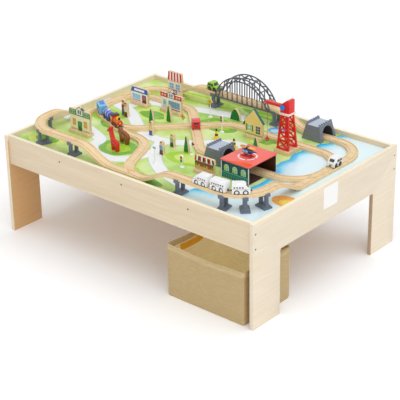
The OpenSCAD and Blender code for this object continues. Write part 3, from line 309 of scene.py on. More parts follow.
# measures in millimetres; a colour stands for its plain paint
def addShape(piece, finish, shape, place=None, bevel=0.0, steps=2):
    finish = coated(finish) if isinstance(finish, tuple) else finish
    part = bmesh.new()
    made = [part.verts.new(v) for v in shape[0]]
    for face in shape[1]:
        part.faces.new([made[i] for i in face])
    bmesh.ops.remove_doubles(part, verts=part.verts, dist=0.0005)
    bmesh.ops.recalc_face_normals(part, faces=part.faces)
    for size, count, chosen in bevel if isinstance(bevel, list) else [(bevel, steps, None)]:
        if size:
            sharp = [e for e in part.edges if len(e.link_faces) == 2 and e.calc_face_angle() > 0.5
                     and (chosen is None or chosen(e))]
            bmesh.ops.bevel(part, geom=sharp, offset=size, segments=count, profile=0.5, affect="EDGES",
                            clamp_overlap=True)
    if place is not None:
        part.transform(place)
    if finish not in piece["finishes"]:
        piece["finishes"].append(finish)
    for face in part.faces:
        face.material_index = piece["finishes"].index(finish)
        face.smooth = True
    mesh = bpy.data.meshes.new("part")
    part.to_mesh(mesh)
    part.free()
    piece["bm"].from_mesh(mesh)
    bpy.data.meshes.remove(mesh)


def placeMesh(mesh, name, body, nodes=(), crease=38):
    mesh.set_sharp_from_angle(angle=math.radians(crease))
    obj = show(name, mesh)
    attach(obj, body)
    if nodes:
        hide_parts(*nodes)
    return obj


def finishPiece(piece, name, body, nodes=(), crease=38):
    mesh = bpy.data.meshes.new(name)
    piece["bm"].transform(Matrix.Scale(0.001, 4))
    piece["bm"].to_mesh(mesh)
    piece["bm"].free()
    for finish in piece["finishes"]:
        mesh.materials.append(finish)
    return placeMesh(mesh, name, body, nodes, crease)


def at(x=0.0, y=0.0, z=0.0, turn=0.0, tip=0.0, roll=0.0):  # degrees: turn about Z, tip about Y, roll about X
    spin = (Matrix.Rotation(math.radians(turn), 4, "Z") @ Matrix.Rotation(math.radians(tip), 4, "Y")
            @ Matrix.Rotation(math.radians(roll), 4, "X"))
    return Matrix.Translation((x, y, z)) @ spin


def box(sx, sy, sz, x=0.0, y=0.0, z=0.0):  # centred across, standing on z
    spots = [(x + i * sx / 2, y + j * sy / 2, z + k * sz) for k in (0, 1) for j in (-1, 1) for i in (-1, 1)]
    return spots, [(0, 2, 3, 1), (4, 5, 7, 6), (0, 1, 5, 4), (2, 6, 7, 3), (0, 4, 6, 2), (1, 3, 7, 5)]


def loft(rings, caps=True, loop=False):
    count = len(rings[0])
    verts = [p for ring in rings for p in ring]
    faces = []
    for i in range(len(rings) if loop else len(rings) - 1):
        a, b = i * count, (i + 1) % len(rings) * count
        faces += [(a + j, a + (j + 1) % count, b + (j + 1) % count, b + j) for j in range(count)]
    if caps and not loop:
        faces += [tuple(range(count))[::-1], tuple(range(len(verts) - count, len(verts)))]
    return verts, faces


def upright(outline, thickness, y=0.0):  # outline in x and z, standing
    return loft([[(x, y - thickness / 2, z) for x, z in outline],
                 [(x, y + thickness / 2, z) for x, z in outline]])


def slab(outline, low, high):  # outline in x and y, lying
    return loft([[(x, y, low) for x, y in outline], [(x, y, high) for x, y in outline]])


def turns(count):  # a full turn in equal steps
    return [2 * math.pi * i / count for i in range(count)]


def circle(radius, count, z=0.0):
    return [(radius * math.cos(a), radius * math.sin(a), z) for a in turns(count)]


def hoop(profile, count):  # closed ring from radius and height pairs
    return loft([circle(radius, count, z) for radius, z in profile], loop=True)


def lathe(profile, count=32):  # radius and height pairs, bottom to top, poles at radius 0
    verts, faces, rows = [], [], []
    for radius, z in profile:
        spots = circle(radius, count, z) if radius > 0.0005 else [(0, 0, z)]
        rows.append(range(len(verts), len(verts) + len(spots)))
        verts += spots
    for low, high in zip(rows, rows[1:]):
        for i in range(count):
            j = (i + 1) % count
            if len(low) == 1 < len(high):
                faces.append((low[0], high[j], high[i]))
            elif len(high) == 1 < len(low):
                faces.append((low[i], low[j], high[0]))
            elif len(low) > 1:
                faces.append((low[i], low[j], high[j], high[i]))
    return verts, faces


def ways(spots):  # direction of a line at each of its points
    last = len(spots) - 1
    return [(spots[min(i + 1, last)] - spots[max(i - 1, 0)]).normalized() for i in range(last + 1)]


def tube(path, radius, count=10):
    rings, up = [], Vector((0, 0, 1))
    spots = [Vector(p) for p in path]
    for spot, way in zip(spots, ways(spots)):
        side = way.cross(up if abs(way.dot(up)) < 0.95 else Vector((1, 0, 0))).normalized()
        rise = side.cross(way)
        rings.append([tuple(spot + radius * (math.cos(a) * side + math.sin(a) * rise)) for a in turns(count)])
    return loft(rings)


def arc(x, z, radius, start, stop, count):
    return [(x + radius * math.cos(math.radians(start + (stop - start) * i / count)),
             z + radius * math.sin(math.radians(start + (stop - start) * i / count)))
             for i in range(count + 1)]


def rect(u0, v0, u1, v1):
    return [(u0, v0), (u1, v0), (u1, v1), (u0, v1)]


def disc(u, v, radius, count=20):
    return arc(u, v, radius, 0, 360 * (count - 1) / count, count - 1)


def archTop(u0, v0, u1, v1):
    radius = (u1 - u0) / 2
    return [(u0, v0), (u1, v0)] + arc((u0 + u1) / 2, v1 - radius, radius, 0, 180, 10)


def spread(line, wide, tall):  # an outline in shares of its width and height
    return [((u - 0.5) * wide, v * tall) for u, v in line]


def rounded(points, closed=True, steps=5):  # smooth line through points
    spots = [Vector(p) for p in points]
    total, out = len(spots), []
    for i in range(total if closed else total - 1):
        a, b, c, d = (spots[(i + k) % total] if closed else spots[min(max(i + k, 0), total - 1)]
                      for k in (-1, 0, 1, 2))
        for s in range(steps):
            t = s / steps
            out.append(0.5 * (2 * b + (c - a) * t + (2 * a - 5 * b + 4 * c - d) * t * t
                              + (3 * b - a - 3 * c + d) * t ** 3))
    return [tuple(p) for p in (out if closed else out + [spots[-1]])]


def ribbon(path, width):  # outline of a band along an open line
    spots = [Vector(p) for p in path]
    left, right = [], []
    for spot, way in zip(spots, ways(spots)):
        side = Vector((-way.y, way.x)) * width / 2
        left.append(tuple(spot + side))
        right.append(tuple(spot - side))
    return right + left[::-1]


def sides(loop):  # a closed line's sides
    return list(zip(loop, loop[1:] + loop[:1]))


def newTree(name, spacing=()):
    tree = bpy.data.node_groups.new(name, "GeometryNodeTree")
    for label, kind in (("Places", "Geometry"), ("Shape", "Object"), ("Size", "Float"), *spacing,
                        ("Finish", "Material")):
        tree.interface.new_socket(label, in_out="INPUT", socket_type="NodeSocket" + kind)
    tree.interface.new_socket("Copies", in_out="OUTPUT", socket_type="NodeSocketGeometry")
    return tree, tree.nodes.new("NodeGroupInput").outputs


def endTree(tree, start, points, rotation):  # shape on points, realized, one finish
    shape = addNode(tree, "GeometryNodeObjectInfo", {"Object": start["Shape"]}).outputs["Geometry"]
    sockets = {"Points": points, "Instance": shape, "Rotation": rotation, "Scale": start["Size"]}
    copies = addNode(tree, "GeometryNodeInstanceOnPoints", sockets).outputs[0]
    real = addNode(tree, "GeometryNodeRealizeInstances", {0: copies}).outputs[0]
    coat = {"Geometry": real, "Material": start["Finish"]}
    addNode(tree, "NodeGroupOutput", {"Copies": addNode(tree, "GeometryNodeSetMaterial", coat).outputs[0]})
    return tree


def makeSpotTree():  # copies on points, turned by the points' own turn attribute
    tree, start = newTree("copiesOnSpots")
    spots = addNode(tree, "GeometryNodeMeshToPoints", {"Mesh": start["Places"]}).outputs[0]
    turn = addNode(tree, "GeometryNodeInputNamedAttribute", {"Name": "turn"}, data_type="FLOAT_VECTOR")
    rotation = addNode(tree, "FunctionNodeEulerToRotation", {0: turn.outputs["Attribute"]}).outputs[0]
    return endTree(tree, start, spots, rotation)


def makeLineTree():  # copies at a spacing along lines, turned with the line
    tree, start = newTree("copiesAlongLines", [("Spacing", "Float")])
    line = addNode(tree, "GeometryNodeMeshToCurve", {"Mesh": start["Places"]}).outputs[0]
    even = {"Curve": line, "Length": start["Spacing"]}
    evenly = addNode(tree, "GeometryNodeResampleCurve", even, mode="LENGTH")
    tangent = tree.nodes.new("GeometryNodeInputTangent").outputs[0]
    turn = addNode(tree, "FunctionNodeAlignRotationToVector", {"Vector": tangent}, axis="X").outputs[0]
    return endTree(tree, start, evenly.outputs[0], turn)


spotTree = makeSpotTree()
lineTree = makeLineTree()


def growCopies(name, tree, places, shape, finish, body, spacing=0.0):
    maker = bpy.data.meshes.new("shape")  # the shape that is repeated, in millimetres
    maker.from_pydata([Vector(v) for v in shape[0]], [], shape[1])
    part = bmesh.new()
    part.from_mesh(maker)
    bmesh.ops.recalc_face_normals(part, faces=part.faces)
    part.to_mesh(maker)
    part.free()
    spots = bpy.data.meshes.new("places")
    if tree is spotTree:
        spots.from_pydata([Vector(p[:3]) * 0.001 for p in places], [], [])
        spins = spots.attributes.new("turn", "FLOAT_VECTOR", "POINT")
        spins.data.foreach_set("vector", [math.radians(c) for p in places for c in p[3:6]])
    else:
        verts, edges = [], []
        for line in places:
            edges += [(len(verts) + i, len(verts) + i + 1) for i in range(len(line) - 1)]
            verts += [Vector(p) * 0.001 for p in line]
        spots.from_pydata(verts, edges, [])
    holder, shapeObj = show("places", spots), show("shape", maker)
    modifier = holder.modifiers.new("copies", "NODES")
    modifier.node_group = tree
    values = {"Shape": shapeObj, "Size": 0.001, "Spacing": spacing / 1000, "Finish": finish}
    for item in tree.interface.items_tree:
        if item.in_out == "INPUT" and item.name in values:
            modifier[item.identifier] = values[item.name]
    bpy.context.view_layer.update()
    grown = bpy.data.meshes.new_from_object(holder.evaluated_get(bpy.context.evaluated_depsgraph_get()))
    grown.name = name
    for leftover in (holder, shapeObj):
        bpy.data.objects.remove(leftover)
    for face in grown.polygons:
        face.use_smooth = True
    return placeMesh(grown, name, body)


def dress(names, finish):
    for name in names:
        node = frame["nodes"][name]
        if not node.material_slots:
            node.data.materials.append(finish)
        for slot in node.material_slots:
            slot.material = finish


def bodyOf(name):
    return next(b for b, nodes in frame["record"]["behaviour"]["bodies"].items() if name in nodes)


def soften(name, finish, bevel, steps=2, crease=30):  # the node's own shape with broken edges
    part = bmesh.new()
    part.from_mesh(frame["nodes"][name].data)
    bmesh.ops.remove_doubles(part, verts=part.verts, dist=0.00002)
    bmesh.ops.dissolve_limit(part, angle_limit=math.radians(2), verts=part.verts, edges=part.edges)
    sharp = [e for e in part.edges if len(e.link_faces) == 2 and e.calc_face_angle() > math.radians(40)]
    bmesh.ops.bevel(part, geom=sharp, offset=bevel / 1000, segments=steps, profile=0.5, affect="EDGES",
                    clamp_overlap=True)
    mesh = bpy.data.meshes.new(name + "_soft")
    for face in part.faces:
        face.smooth = True
        face.material_index = 0
    part.to_mesh(mesh)
    part.free()
    mesh.materials.clear()
    mesh.materials.append(finish)
    return placeMesh(mesh, name + "_soft", bodyOf(name), [name], crease=crease)


hoist = {"x": 203.2, "y": 156.5, "top": 549.3, "length": 134.0, "diameter": 1.2, "strands": 3, "lay": 0.42,
         "runs": 96, "steps": 24, "kept": 0.1522, "ball": 7.5, "neck": 3.0, "neckHeight": 4.0}


def makeHoist():
    x, y, top, length, runs, ball, neck = take(hoist, "x y top length runs ball neck")
    rings = []
    for i in range(runs + 1):  # three laid strands, turned along the run
        ring = []
        for a in turns(12):
            twist = math.cos(hoist["strands"] * (a - i * hoist["lay"]))
            radius = hoist["diameter"] / 2 * (0.93 + 0.07 * twist)
            ring.append((x + radius * math.cos(a), y + radius * math.sin(a), top - length * i / runs))
        rings.append(ring)
    piece = startPiece()
    addShape(piece, paint("hoistTwine", (96, 66, 40), 0.75, 0.2, (1, 1, 0.2)), loft(rings))
    string = finishPiece(piece, "hoistTwine", "crane_jib", ["hoist_string"], 60)
    hook = startPiece()
    bottom = top - length
    collar = bottom - hoist["neckHeight"]
    low = collar - ball * 1.9
    middle = low + ball
    bend = [math.radians(a) for a in range(15, 166, 10)]
    knob = [(0, low)] + [(ball * math.sin(a), low + ball * (1 - math.cos(a))) for a in bend]
    knob += [(neck, collar + 0.4), (neck, bottom - 1.0), (neck - 0.8, bottom), (0, bottom)]
    addShape(hook, plastic("hookRed", (206, 26, 22), 0.26), lathe(knob, 40), at(x, y))
    rim = ((-0.6, -1.1), (0.25, -0.9), (0.35, 0), (0.25, 0.9), (-0.6, 1.1))
    band = hoop([(ball + out, middle + rise) for out, rise in rim], 40)
    addShape(hook, paint("hookBand", (196, 160, 84), 0.3, 0.08), band, at(x, y))
    hookPiece = finishPiece(hook, "hoistBall", "hook", ["crane_hook"])
    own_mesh(string)


makeHoist()
print("hoist string hung")

table = {"length": 1200.0, "width": 845.0, "board": 380.0, "panel": 15.0, "apronY": 416.5,
         "panelScrews": (360.9, 305.7), "apronScrews": (-312.0, 0.0, 312.0), "apronScrewZ": 367.5,
         "socket": 1.7, "sticker": (-31.0, 52.0, 306.0, 388.0), "stickerCorner": 5.0, "stickerThick": 0.25}
ground = table["board"]  # what the toys stand on


def makeTable():
    # rim: paler tone for upward faces, a painted highlight along the top edges
    rim = (252, 241, 214)
    frontWood = wood("apronWood", (238, 220, 190), (230, 210, 177), "x", rim=rim)
    # back and cut are painted warm shade for inner faces and cut edges below the board
    endWood = wood("panelWood", (244, 230, 207), (236, 220, 193), "y", rim=rim,
                   back=(0.84, 0.59, 0.34, 1), cut=(0.62, 0.52, 0.44, 1))
    for name in ("front_apron", "back_apron"):
        soften(name, frontWood, 1.0)
    for name in ("left_end_panel", "right_end_panel"):
        soften(name, endWood, 1.2)
    dress(["board_battens"], wood("battenWood", (214, 190, 150), (190, 160, 116), "x"))
    dress(["frame_screws"], metal("screwSteel", (122, 122, 124), 0.34, 0.1))
    end, apronY = table["length"] / 2, table["apronY"]
    places = []
    for side in (-1, 1):
        places += [(side * end, y * (apronY - table["panel"] / 2), z, 0, side * 90, 0)
                   for z in table["panelScrews"] for y in (-1, 1)]
        places += [(x, side * apronY, table["apronScrewZ"], side * -90, 0, 0) for x in table["apronScrews"]]
    socket = slab(disc(0, 0, table["socket"], 6), -0.4, 0.06)
    growCopies("screwSockets", spotTree, places, socket, plastic("socketBlack", (28, 28, 30), 0.6), "table")
    low, high, bottom, top = table["sticker"]
    corner, outline = table["stickerCorner"], []
    low, high, bottom, top = low + corner, high - corner, bottom + corner, top - corner
    for start, u, v in ((0, high, top), (90, low, top), (180, low, bottom), (270, high, bottom)):
        outline += arc(u, v, corner, start, start + 90, 5)
    sticker = startPiece()
    onPanel = Matrix(((0, 0, 1, end), (1, 0, 0, 0), (0, 1, 0, 0), (0, 0, 0, 1)))
    addShape(sticker, paint("stickerPaper", (248, 248, 246), 0.5, 0.015),
             slab(outline, 0, table["stickerThick"]), onPanel)
    finishPiece(sticker, "blankSticker", "table")


makeTable()
print("table dressed")

boardPrint = {
    "meadowTop": 0.1, "innerMeadowTop": 0.3, "lakeTop": 0.5, "vergeTop": 0.56, "roadTop": 0.66, "markTop": 0.8,
    "layer": 0.012, "sunk": 0.3, "edgeX": 584.0, "edgeY": 400.0, "lakeEdgeY": 400.5,
    "roadWidth": 46.0, "verge": 5.0, "dashSpacing": 30.0,
    "flowerSeed": 7, "flowersEach": 9, "flowerReach": (575, 392), "petal": 1.3,
    "lakeGrid": 12, "lakeSpanX": (212, 580), "lakeSpanY": (-394, 400), "lakeMargin": 5.0, "lakeDeep": 100.0,
    "lake": [(585, 402), (585, -402), (232, -402), (206, -352), (238, -300), (318, -262), (376, -196),
             (392, -112), (374, -34), (346, 18), (338, 66), (346, 104), (334, 130), (330, 160), (338, 204),
             (352, 246), (350, 282), (372, 318), (362, 366), (376, 402)],
    "pond": (146, 289, 32, 30),
    "sand": [(585, -214), (548, -222), (506, -204), (494, -172), (520, -148), (560, -142), (585, -152)],
    "paleSand": [(574, -208), (540, -206), (530, -184), (556, -166), (574, -174)],
    "roads": [
        [(-585, 118), (-500, 104), (-420, 78), (-344, 26), (-268, -26), (-170, -58), (-84, -40), (-6, 16),
         (68, 78), (140, 92), (214, 60)],
        [(-130, -54), (-92, -128), (-28, -206), (56, -262), (150, -292), (232, -318)],
        [(-585, -106), (-520, -112), (-452, -138), (-380, -164), (-318, -196), (-304, -250), (-256, -292),
         (-176, -296), (-118, -262), (-92, -204), (-84, -132)],
        [(-470, 96), (-452, 170), (-390, 214), (-300, 222), (-220, 262), (-150, 280), (-60, 300), (60, 296)]],
    "meadows": [(-214, -210, 84, 62, 0), (-470, 0, 70, 60, 1), (-330, 110, 96, 52, 2), (-60, 190, 88, 54, 0),
                (60, -120, 92, 60, 1), (170, 190, 84, 58, 2), (-480, -310, 84, 56, 2), (-10, -350, 140, 36, 0),
                (-300, 350, 200, 36, 1), (120, 372, 220, 24, 0), (-520, 250, 46, 90, 1), (240, 10, 60, 44, 0),
                (40, 30, 40, 26, 2), (-390, -60, 56, 30, 0), (-60, -320, 60, 30, 1)],
}


def makeLake():  # one sheet whose tone follows the distance from the shore
    edgeX, edgeY, step = take(boardPrint, "edgeX lakeEdgeY lakeGrid")
    shore = [(min(px, edgeX), min(edgeY, max(py, -edgeY))) for px, py in rounded(boardPrint["lake"], steps=6)]
    shore = [p for i, p in enumerate(shore) if math.dist(p, shore[i - 1]) > 0.5]
    banks = [(a, b) for a, b in sides(shore) if max(a[0], b[0]) < edgeX - 0.1
             and max(abs(a[1]), abs(b[1])) < edgeY - 0.1]

    def fromBank(p):
        gaps = []
        for a, b in banks:
            along = Vector((b[0] - a[0], b[1] - a[1]))
            t = max(0.0, min(1.0, along.dot(Vector(p) - Vector(a)) / along.length_squared))
            gaps.append(math.dist(p, (a[0] + along.x * t, a[1] + along.y * t)))
        return min(gaps)

    def inside(p):
        crossed = False
        for (ax, ay), (bx, by) in sides(shore):
            if (ay > p[1]) != (by > p[1]) and p[0] < (bx - ax) * (p[1] - ay) / (by - ay) + ax:
                crossed = not crossed
        return crossed

    spanX, spanY = (range(*boardPrint[span], step) for span in ("lakeSpanX", "lakeSpanY"))
    grid = [(x, y) for x in spanX for y in spanY]
    inner = [p for p in grid if inside(p) and fromBank(p) > boardPrint["lakeMargin"]]
    spots = [Vector(p) for p in shore + inner]
    ends = [(i, (i + 1) % len(shore)) for i in range(len(shore))]
    net = delaunay_2d_cdt(spots, ends, [], 1, 0.0001)
    flat, tris = net[0], net[2]
    count, seen = len(flat), {side: True for tri in tris for side in sides(tri)}
    levels = [ground + high for high in (boardPrint["lakeTop"], -boardPrint["sunk"])]
    verts = [(p.x / 1000, p.y / 1000, z / 1000) for z in levels for p in flat]
    faces = [tuple(tri) for tri in tris] + [tuple(i + count for i in tri[::-1]) for tri in tris]
    faces += [(b, a, a + count, b + count) for a, b in seen if (b, a) not in seen]
    mesh = bpy.data.meshes.new("printedLake")
    mesh.from_pydata(verts, [], faces)
    depth = mesh.attributes.new("depth", "FLOAT", "POINT")
    depths = [min(1.0, fromBank((p.x, p.y)) / boardPrint["lakeDeep"]) for p in flat]
    depth.data.foreach_set("value", depths * 2)
    finish, tree, shader = startFinish("lakePrint", 0.26)
    source = addNode(tree, "ShaderNodeAttribute", {}, attribute_name="depth").outputs["Fac"]
    wobble = mathOn(tree, "MULTIPLY_ADD", noiseOn(tree, 17), 0.4, -0.2)
    fill(tree, shader, {"Base Color": rampOn(tree, mathOn(tree, "ADD", source, wobble), [
        (0.0, (40, 176, 232)), (0.16, (92, 208, 246)), (0.28, (160, 231, 253)), (0.42, (208, 243, 255)),
        (0.75, (228, 249, 255))])})
    bumpOn(tree, shader, noiseOn(tree, 60, (1, 3, 1)), 0.05, 0.0006)
    mesh.materials.append(finish)
    placeMesh(mesh, "printedLake", "table")


def printBoard():
    finish, tree, shader = startFinish("printedBoard", 0.42)
    tint = rampOn(tree, noiseOn(tree, 9, detail=6),
                  [(0.3, (160, 208, 86)), (0.5, (200, 229, 134)), (0.7, (230, 244, 182))])
    speckle = greysOn(tree, noiseOn(tree, 300, detail=2), 0.35, 0.88, 0.65, 1.0)
    tint = mixOn(tree, "MULTIPLY", 0.4, tint, speckle)
    hardboard = [(0.3, (190, 146, 98)), (0.7, (206, 164, 116))]  # bare below
    bare = rampOn(tree, noiseOn(tree, 220, (0.2, 1, 1)), hardboard)
    fill(tree, shader, {"Base Color": mixOn(tree, "MIX", below(tree, normalOn(tree)[2], 0.5), tint, bare)})
    bumpOn(tree, shader, noiseOn(tree, 420), 0.06, 0.0003)
    dress(["play_board"], finish)


def lay(piece, finish, outline, level, k=0):  # a thin printed sheet; each next one lies a little higher
    addShape(piece, finish, slab(outline, ground - boardPrint["sunk"],
                                 ground + boardPrint[level] + boardPrint["layer"] * k))


def makeBoardPrint():
    printBoard()
    greens = [paint("meadowDeep", (118, 180, 56), 0.42, 0.12),
              paint("meadowLime", (166, 212, 52), 0.42, 0.12),
              paint("meadowPale", (212, 232, 120), 0.42, 0.1)]
    edgeX, edgeY = take(boardPrint, "edgeX edgeY")
    lawn = startPiece()
    for k, (x, y, wide, deep, kind) in enumerate(boardPrint["meadows"]):
        ring = [(x + wide * math.cos(a) * (1 + 0.1 * math.sin(3 * a + x)),
                 y + deep * math.sin(a) * (1 + 0.12 * math.cos(2 * a + y)))
                for a in turns(40)]
        ring = [(max(-edgeX, min(edgeX, px)), max(-edgeY, min(edgeY, py))) for px, py in ring]
        lay(lawn, greens[kind], ring, "meadowTop", k)
        lay(lawn, greens[(kind + 1) % 3], [(x + (px - x) * 0.62, y + (py - y) * 0.6) for px, py in ring],
            "innerMeadowTop", k)
    finishPiece(lawn, "printedMeadows", "table")
    makeLake()
    sand = startPiece()
    shore = [(min(px, edgeX), py) for px, py in rounded(boardPrint["sand"], steps=6)]
    lay(sand, paint("sandTone", (246, 176, 84), 0.5, 0.12), shore, "roadTop")
    lay(sand, paint("sandPale", (250, 212, 92), 0.5, 0.12), rounded(boardPrint["paleSand"], steps=6),
        "markTop")
    x, y, wide, deep = boardPrint["pond"]
    depths = (((58, 148, 226), 1.0, 0), ((132, 200, 246), 0.78, -4), ((196, 230, 252), 0.5, -9))
    for k, (colour, shrink, shift) in enumerate(depths):  # darker at its far bank
        ring = [(x + wide * shrink * math.cos(a) * (1 + 0.1 * math.sin(2 * a)),
                 y + shift + deep * shrink * math.sin(a)) for a in turns(32)]
        lay(sand, paint("pond" + str(k), colour, 0.3, 0.06), ring, "lakeTop", k)
    finishPiece(sand, "printedSand", "table")
    roads = startPiece()
    verge = paint("roadVerge", (208, 216, 226), 0.45, 0.03)
    tar = paint("roadTone", (241, 245, 245), 0.45, 0.02)
    lines = [rounded(path, False, 6) for path in boardPrint["roads"]]
    for k, line in enumerate(lines):
        lay(roads, verge, ribbon(line, boardPrint["roadWidth"] + boardPrint["verge"]), "vergeTop", k)
        lay(roads, tar, ribbon(line, boardPrint["roadWidth"]), "roadTop", k)
    finishPiece(roads, "printedRoads", "table")
    middles = [[(px, py, ground) for px, py in line] for line in lines]
    growCopies("roadDashes", lineTree, middles, box(13, 2.2, boardPrint["markTop"]),
               paint("dashTone", (252, 252, 250), 0.45, 0.02), "table", boardPrint["dashSpacing"])
    spots, state = [], boardPrint["flowerSeed"]
    for x, y, wide, deep, kind in boardPrint["meadows"]:  # flowers strewn by a fixed sequence
        for i in range(boardPrint["flowersEach"]):
            state = (state * 1103515245 + 12345) % 2147483648
            a, r = 2 * math.pi * (state % 1000) / 1000, 0.35 + 0.55 * (state // 1000 % 1000) / 1000
            px, py = x + wide * r * math.cos(a), y + deep * r * math.sin(a)
            if abs(px) < boardPrint["flowerReach"][0] and abs(py) < boardPrint["flowerReach"][1]:
                spots.append((px, py, ground, 0, 0, state % 90))
    radii = [(1.0 + 0.9 * (i % 2)) * boardPrint["petal"] for i in range(10)]
    petals = slab([(r * math.cos(a), r * math.sin(a)) for r, a in zip(radii, turns(10))], 0,
                  boardPrint["lakeTop"] + 0.02)
    for k, colour in enumerate(((250, 250, 246), (250, 214, 60), (240, 140, 150))):
        growCopies("printedFlowers" + str(k), spotTree, spots[k::3], petals,
                   paint("petal" + str(k), colour, 0.45),
                   "table")


makeBoardPrint()
print("board printed")

railway = {"radius": 120.0, "trackTop": 392.0, "raisedTop": 446.0, "leftX": -540.0, "rightX": 520.0,
           "frontY": -357.5, "backY": 337.5, "shedY": -57.5, "middleY": 217.5, "frontStraight": 138.0,
           "backStraight": 125.0, "bridgeEnds": (95.0, -185.0), "tunnelEnd": 110.04,
           "pegRadius": 5.2, "pegNeck": 2.6, "pegReach": 9.0, "line": 0.55, "depth": (-0.2, 0.08)}


def makeRailway():
    dress(["straight_tracks", "curved_tracks", "switch_tracks", "ramp_tracks"],
          wood("trackBeech", (244, 218, 174), (233, 200, 151), "x", 0.46, 0.08))
    left, right, front, back = take(railway, "leftX rightX frontY backY")
    shedY, middle, r, low, high = take(railway, "shedY middleY radius trackTop raisedTop")
    firstEnd, secondEnd = railway["bridgeEnds"]
    joints = [(x, y, z, 0, 0, heading) for x, y, heading, z in (
        (left, front + r, 90, high), (left + r, front, 0, high),
        (left + r + railway["frontStraight"], front, 0, high), (right - r, front, 0, high),
        (right, front + r, 90, high), (right, shedY, 90, low), (right, shedY + r, 90, low),
        (right, middle - r, 90, low), (right, middle, 90, low), (right - r, back, 180, low),
        (right - r - railway["backStraight"], back, 180, low), (firstEnd, back, 180, high),
        (secondEnd, back, 180, high), (left + r, back, 180, low), (left, back - r, 270, low),
        (left, shedY, 90, low), (right - r, shedY, 0, low), (right - r, middle, 0, low),
        (railway["tunnelEnd"], shedY, 180, low))]
    peg, neck, reach, thin = take(railway, "pegRadius pegNeck pegReach line")
    opening = math.degrees(math.asin(neck / peg))
    lines = []
    for inset, turn in ((0.0, opening), (thin, opening * 0.78)):  # outer and inner edge of the drawn peg
        bow = arc(reach, 0, peg - inset, 180 + turn, 540 - turn, 20)
        lines += [(0, inset - neck)] + bow + [(0, neck - inset)]
    count = len(lines) // 2
    verts = [(x, y, z) for z in railway["depth"] for x, y in lines]
    faces = []
    for i in range(count - 1):
        a, b, c, d = (i + k * count for k in range(4))
        faces += [(a, a + 1, b + 1, b), (c, d, d + 1, c + 1), (a, c, c + 1, a + 1), (b, b + 1, d + 1, d)]
    faces += [(i, count + i, 3 * count + i, 2 * count + i) for i in (0, count - 1)]
    growCopies("pegJoints", spotTree, joints, (verts, faces), paint("pegLine", (132, 88, 48), 0.6, 0.1),
               "table")


makeRailway()
print("railway dressed")

bridge = {"midX": -45.0, "y": 337.5, "floor": 431.0, "length": 280.0, "height": 108.0, "ribFace": 25.5,
          "chord": 4.0, "depth": 16.0, "rivet": 1.1, "archRivets": 31, "floorRivets": 29, "rivetSpacing": 9.5,
          "rivetStart": 133.0}


def makeStructures():
    soften("bridge_piers", plastic("pierGrey", (104, 114, 132), 0.36), 0.7)
    archGrey = plastic("archGrey", (98, 104, 117), 0.34)
    dress(["arch_bridge"], archGrey)
    midX, floor, height, chord, size = take(bridge, "midX floor height chord rivet")
    radius = ((bridge["length"] / 2) ** 2 + height ** 2) / (2 * height)
    drop = radius - height
    spots = []
    for line in (radius - chord / 2, radius - bridge["depth"] - chord / 2):
        reach = math.degrees(math.acos((drop + 3) / line))
        for i in range(bridge["archRivets"]):
            a = math.radians(-reach + 2 * reach * i / (bridge["archRivets"] - 1))
            spots.append((midX + line * math.sin(a), floor + line * math.cos(a) - drop))
    spots += [(midX - bridge["rivetStart"] + bridge["rivetSpacing"] * i, floor + 2)
              for i in range(bridge["floorRivets"])]
    faces = [(bridge["y"] + side * bridge["ribFace"], side * -90) for side in (-1, 1)]
    places = [(x, y, z, roll, 0, 0) for x, z in spots for y, roll in faces]
    dome = lathe([(size, -0.3), (size, 0.05), (size * 0.8, 0.4), (size * 0.4, 0.62), (0, 0.68)], 8)
    growCopies("bridgeRivets", spotTree, places, dome, archGrey, "table")


makeStructures()
print("piers and bridge dressed")

tunnel = {"places": ((307.0, 337.5), (155.04, -57.5)), "length": 90.0, "height": 58.0, "mouth": 61.92,
          "spring": 22.4, "lean": 0.225, "stones": 15, "stoneDepth": 5.0, "gap": 0.7, "proud": 0.9}


def tunnelStone():
    finish, tree, shader = startFinish("tunnelStone", 0.6)
    x, y, z = axesOn(tree, pointsOn(tree))
    joined = addNode(tree, "ShaderNodeCombineXYZ", {0: mathOn(tree, "ADD", x, y), 1: z}).outputs[0]
    brick = addNode(tree, "ShaderNodeTexBrick", {
        "Vector": joined, "Scale": 26.0, "Mortar Size": 0.02, "Mortar Smooth": 0.4, "Bias": 0.0,
        "Brick Width": 0.5, "Row Height": 0.25,
        "Color1": tone(120, 127, 140), "Color2": tone(125, 132, 145), "Mortar": tone(111, 118, 131)}).outputs
    rough = greysOn(tree, noiseOn(tree, 160, detail=6), 0.3, 0.9, 0.7, 1.05)
    normal = normalOn(tree)
    # upward faces painted paler: a painted highlight on the tops
    roof = mixOn(tree, "MULTIPLY", 1.0, tone(188, 199, 214), rough)
    body = mixOn(tree, "MIX", over(tree, normal[2], 0.6), mixOn(tree, "MULTIPLY", 1.0, brick["Color"], rough),
                 roof)
    # faces inside the bore and facing down, below the top, get painted shade
    back, front = (place[1] / 1000 for place in tunnel["places"])
    line = mathOn(tree, "MULTIPLY_ADD", over(tree, y, (back + front) / 2), back - front, front)
    inward = below(tree, mathOn(tree, "MULTIPLY", mathOn(tree, "SUBTRACT", y, line), normal[1]), -0.0005)
    shadedBore = mathOn(tree, "MAXIMUM", inward, below(tree, normal[2], -0.2))
    shadedBore = mathOn(tree, "MULTIPLY", shadedBore, below(tree, z, (ground + tunnel["height"]) / 1000))
    fill(tree, shader, {"Base Color": mixOn(tree, "MIX", shadedBore, body, tone(44, 46, 52))})  # inside of the bore painted dark: painted shade
    bumpOn(tree, shader, mixOn(tree, "MULTIPLY", 1.0, brick["Fac"], grey(-1.0)), 0.35, 0.0008)
    return finish


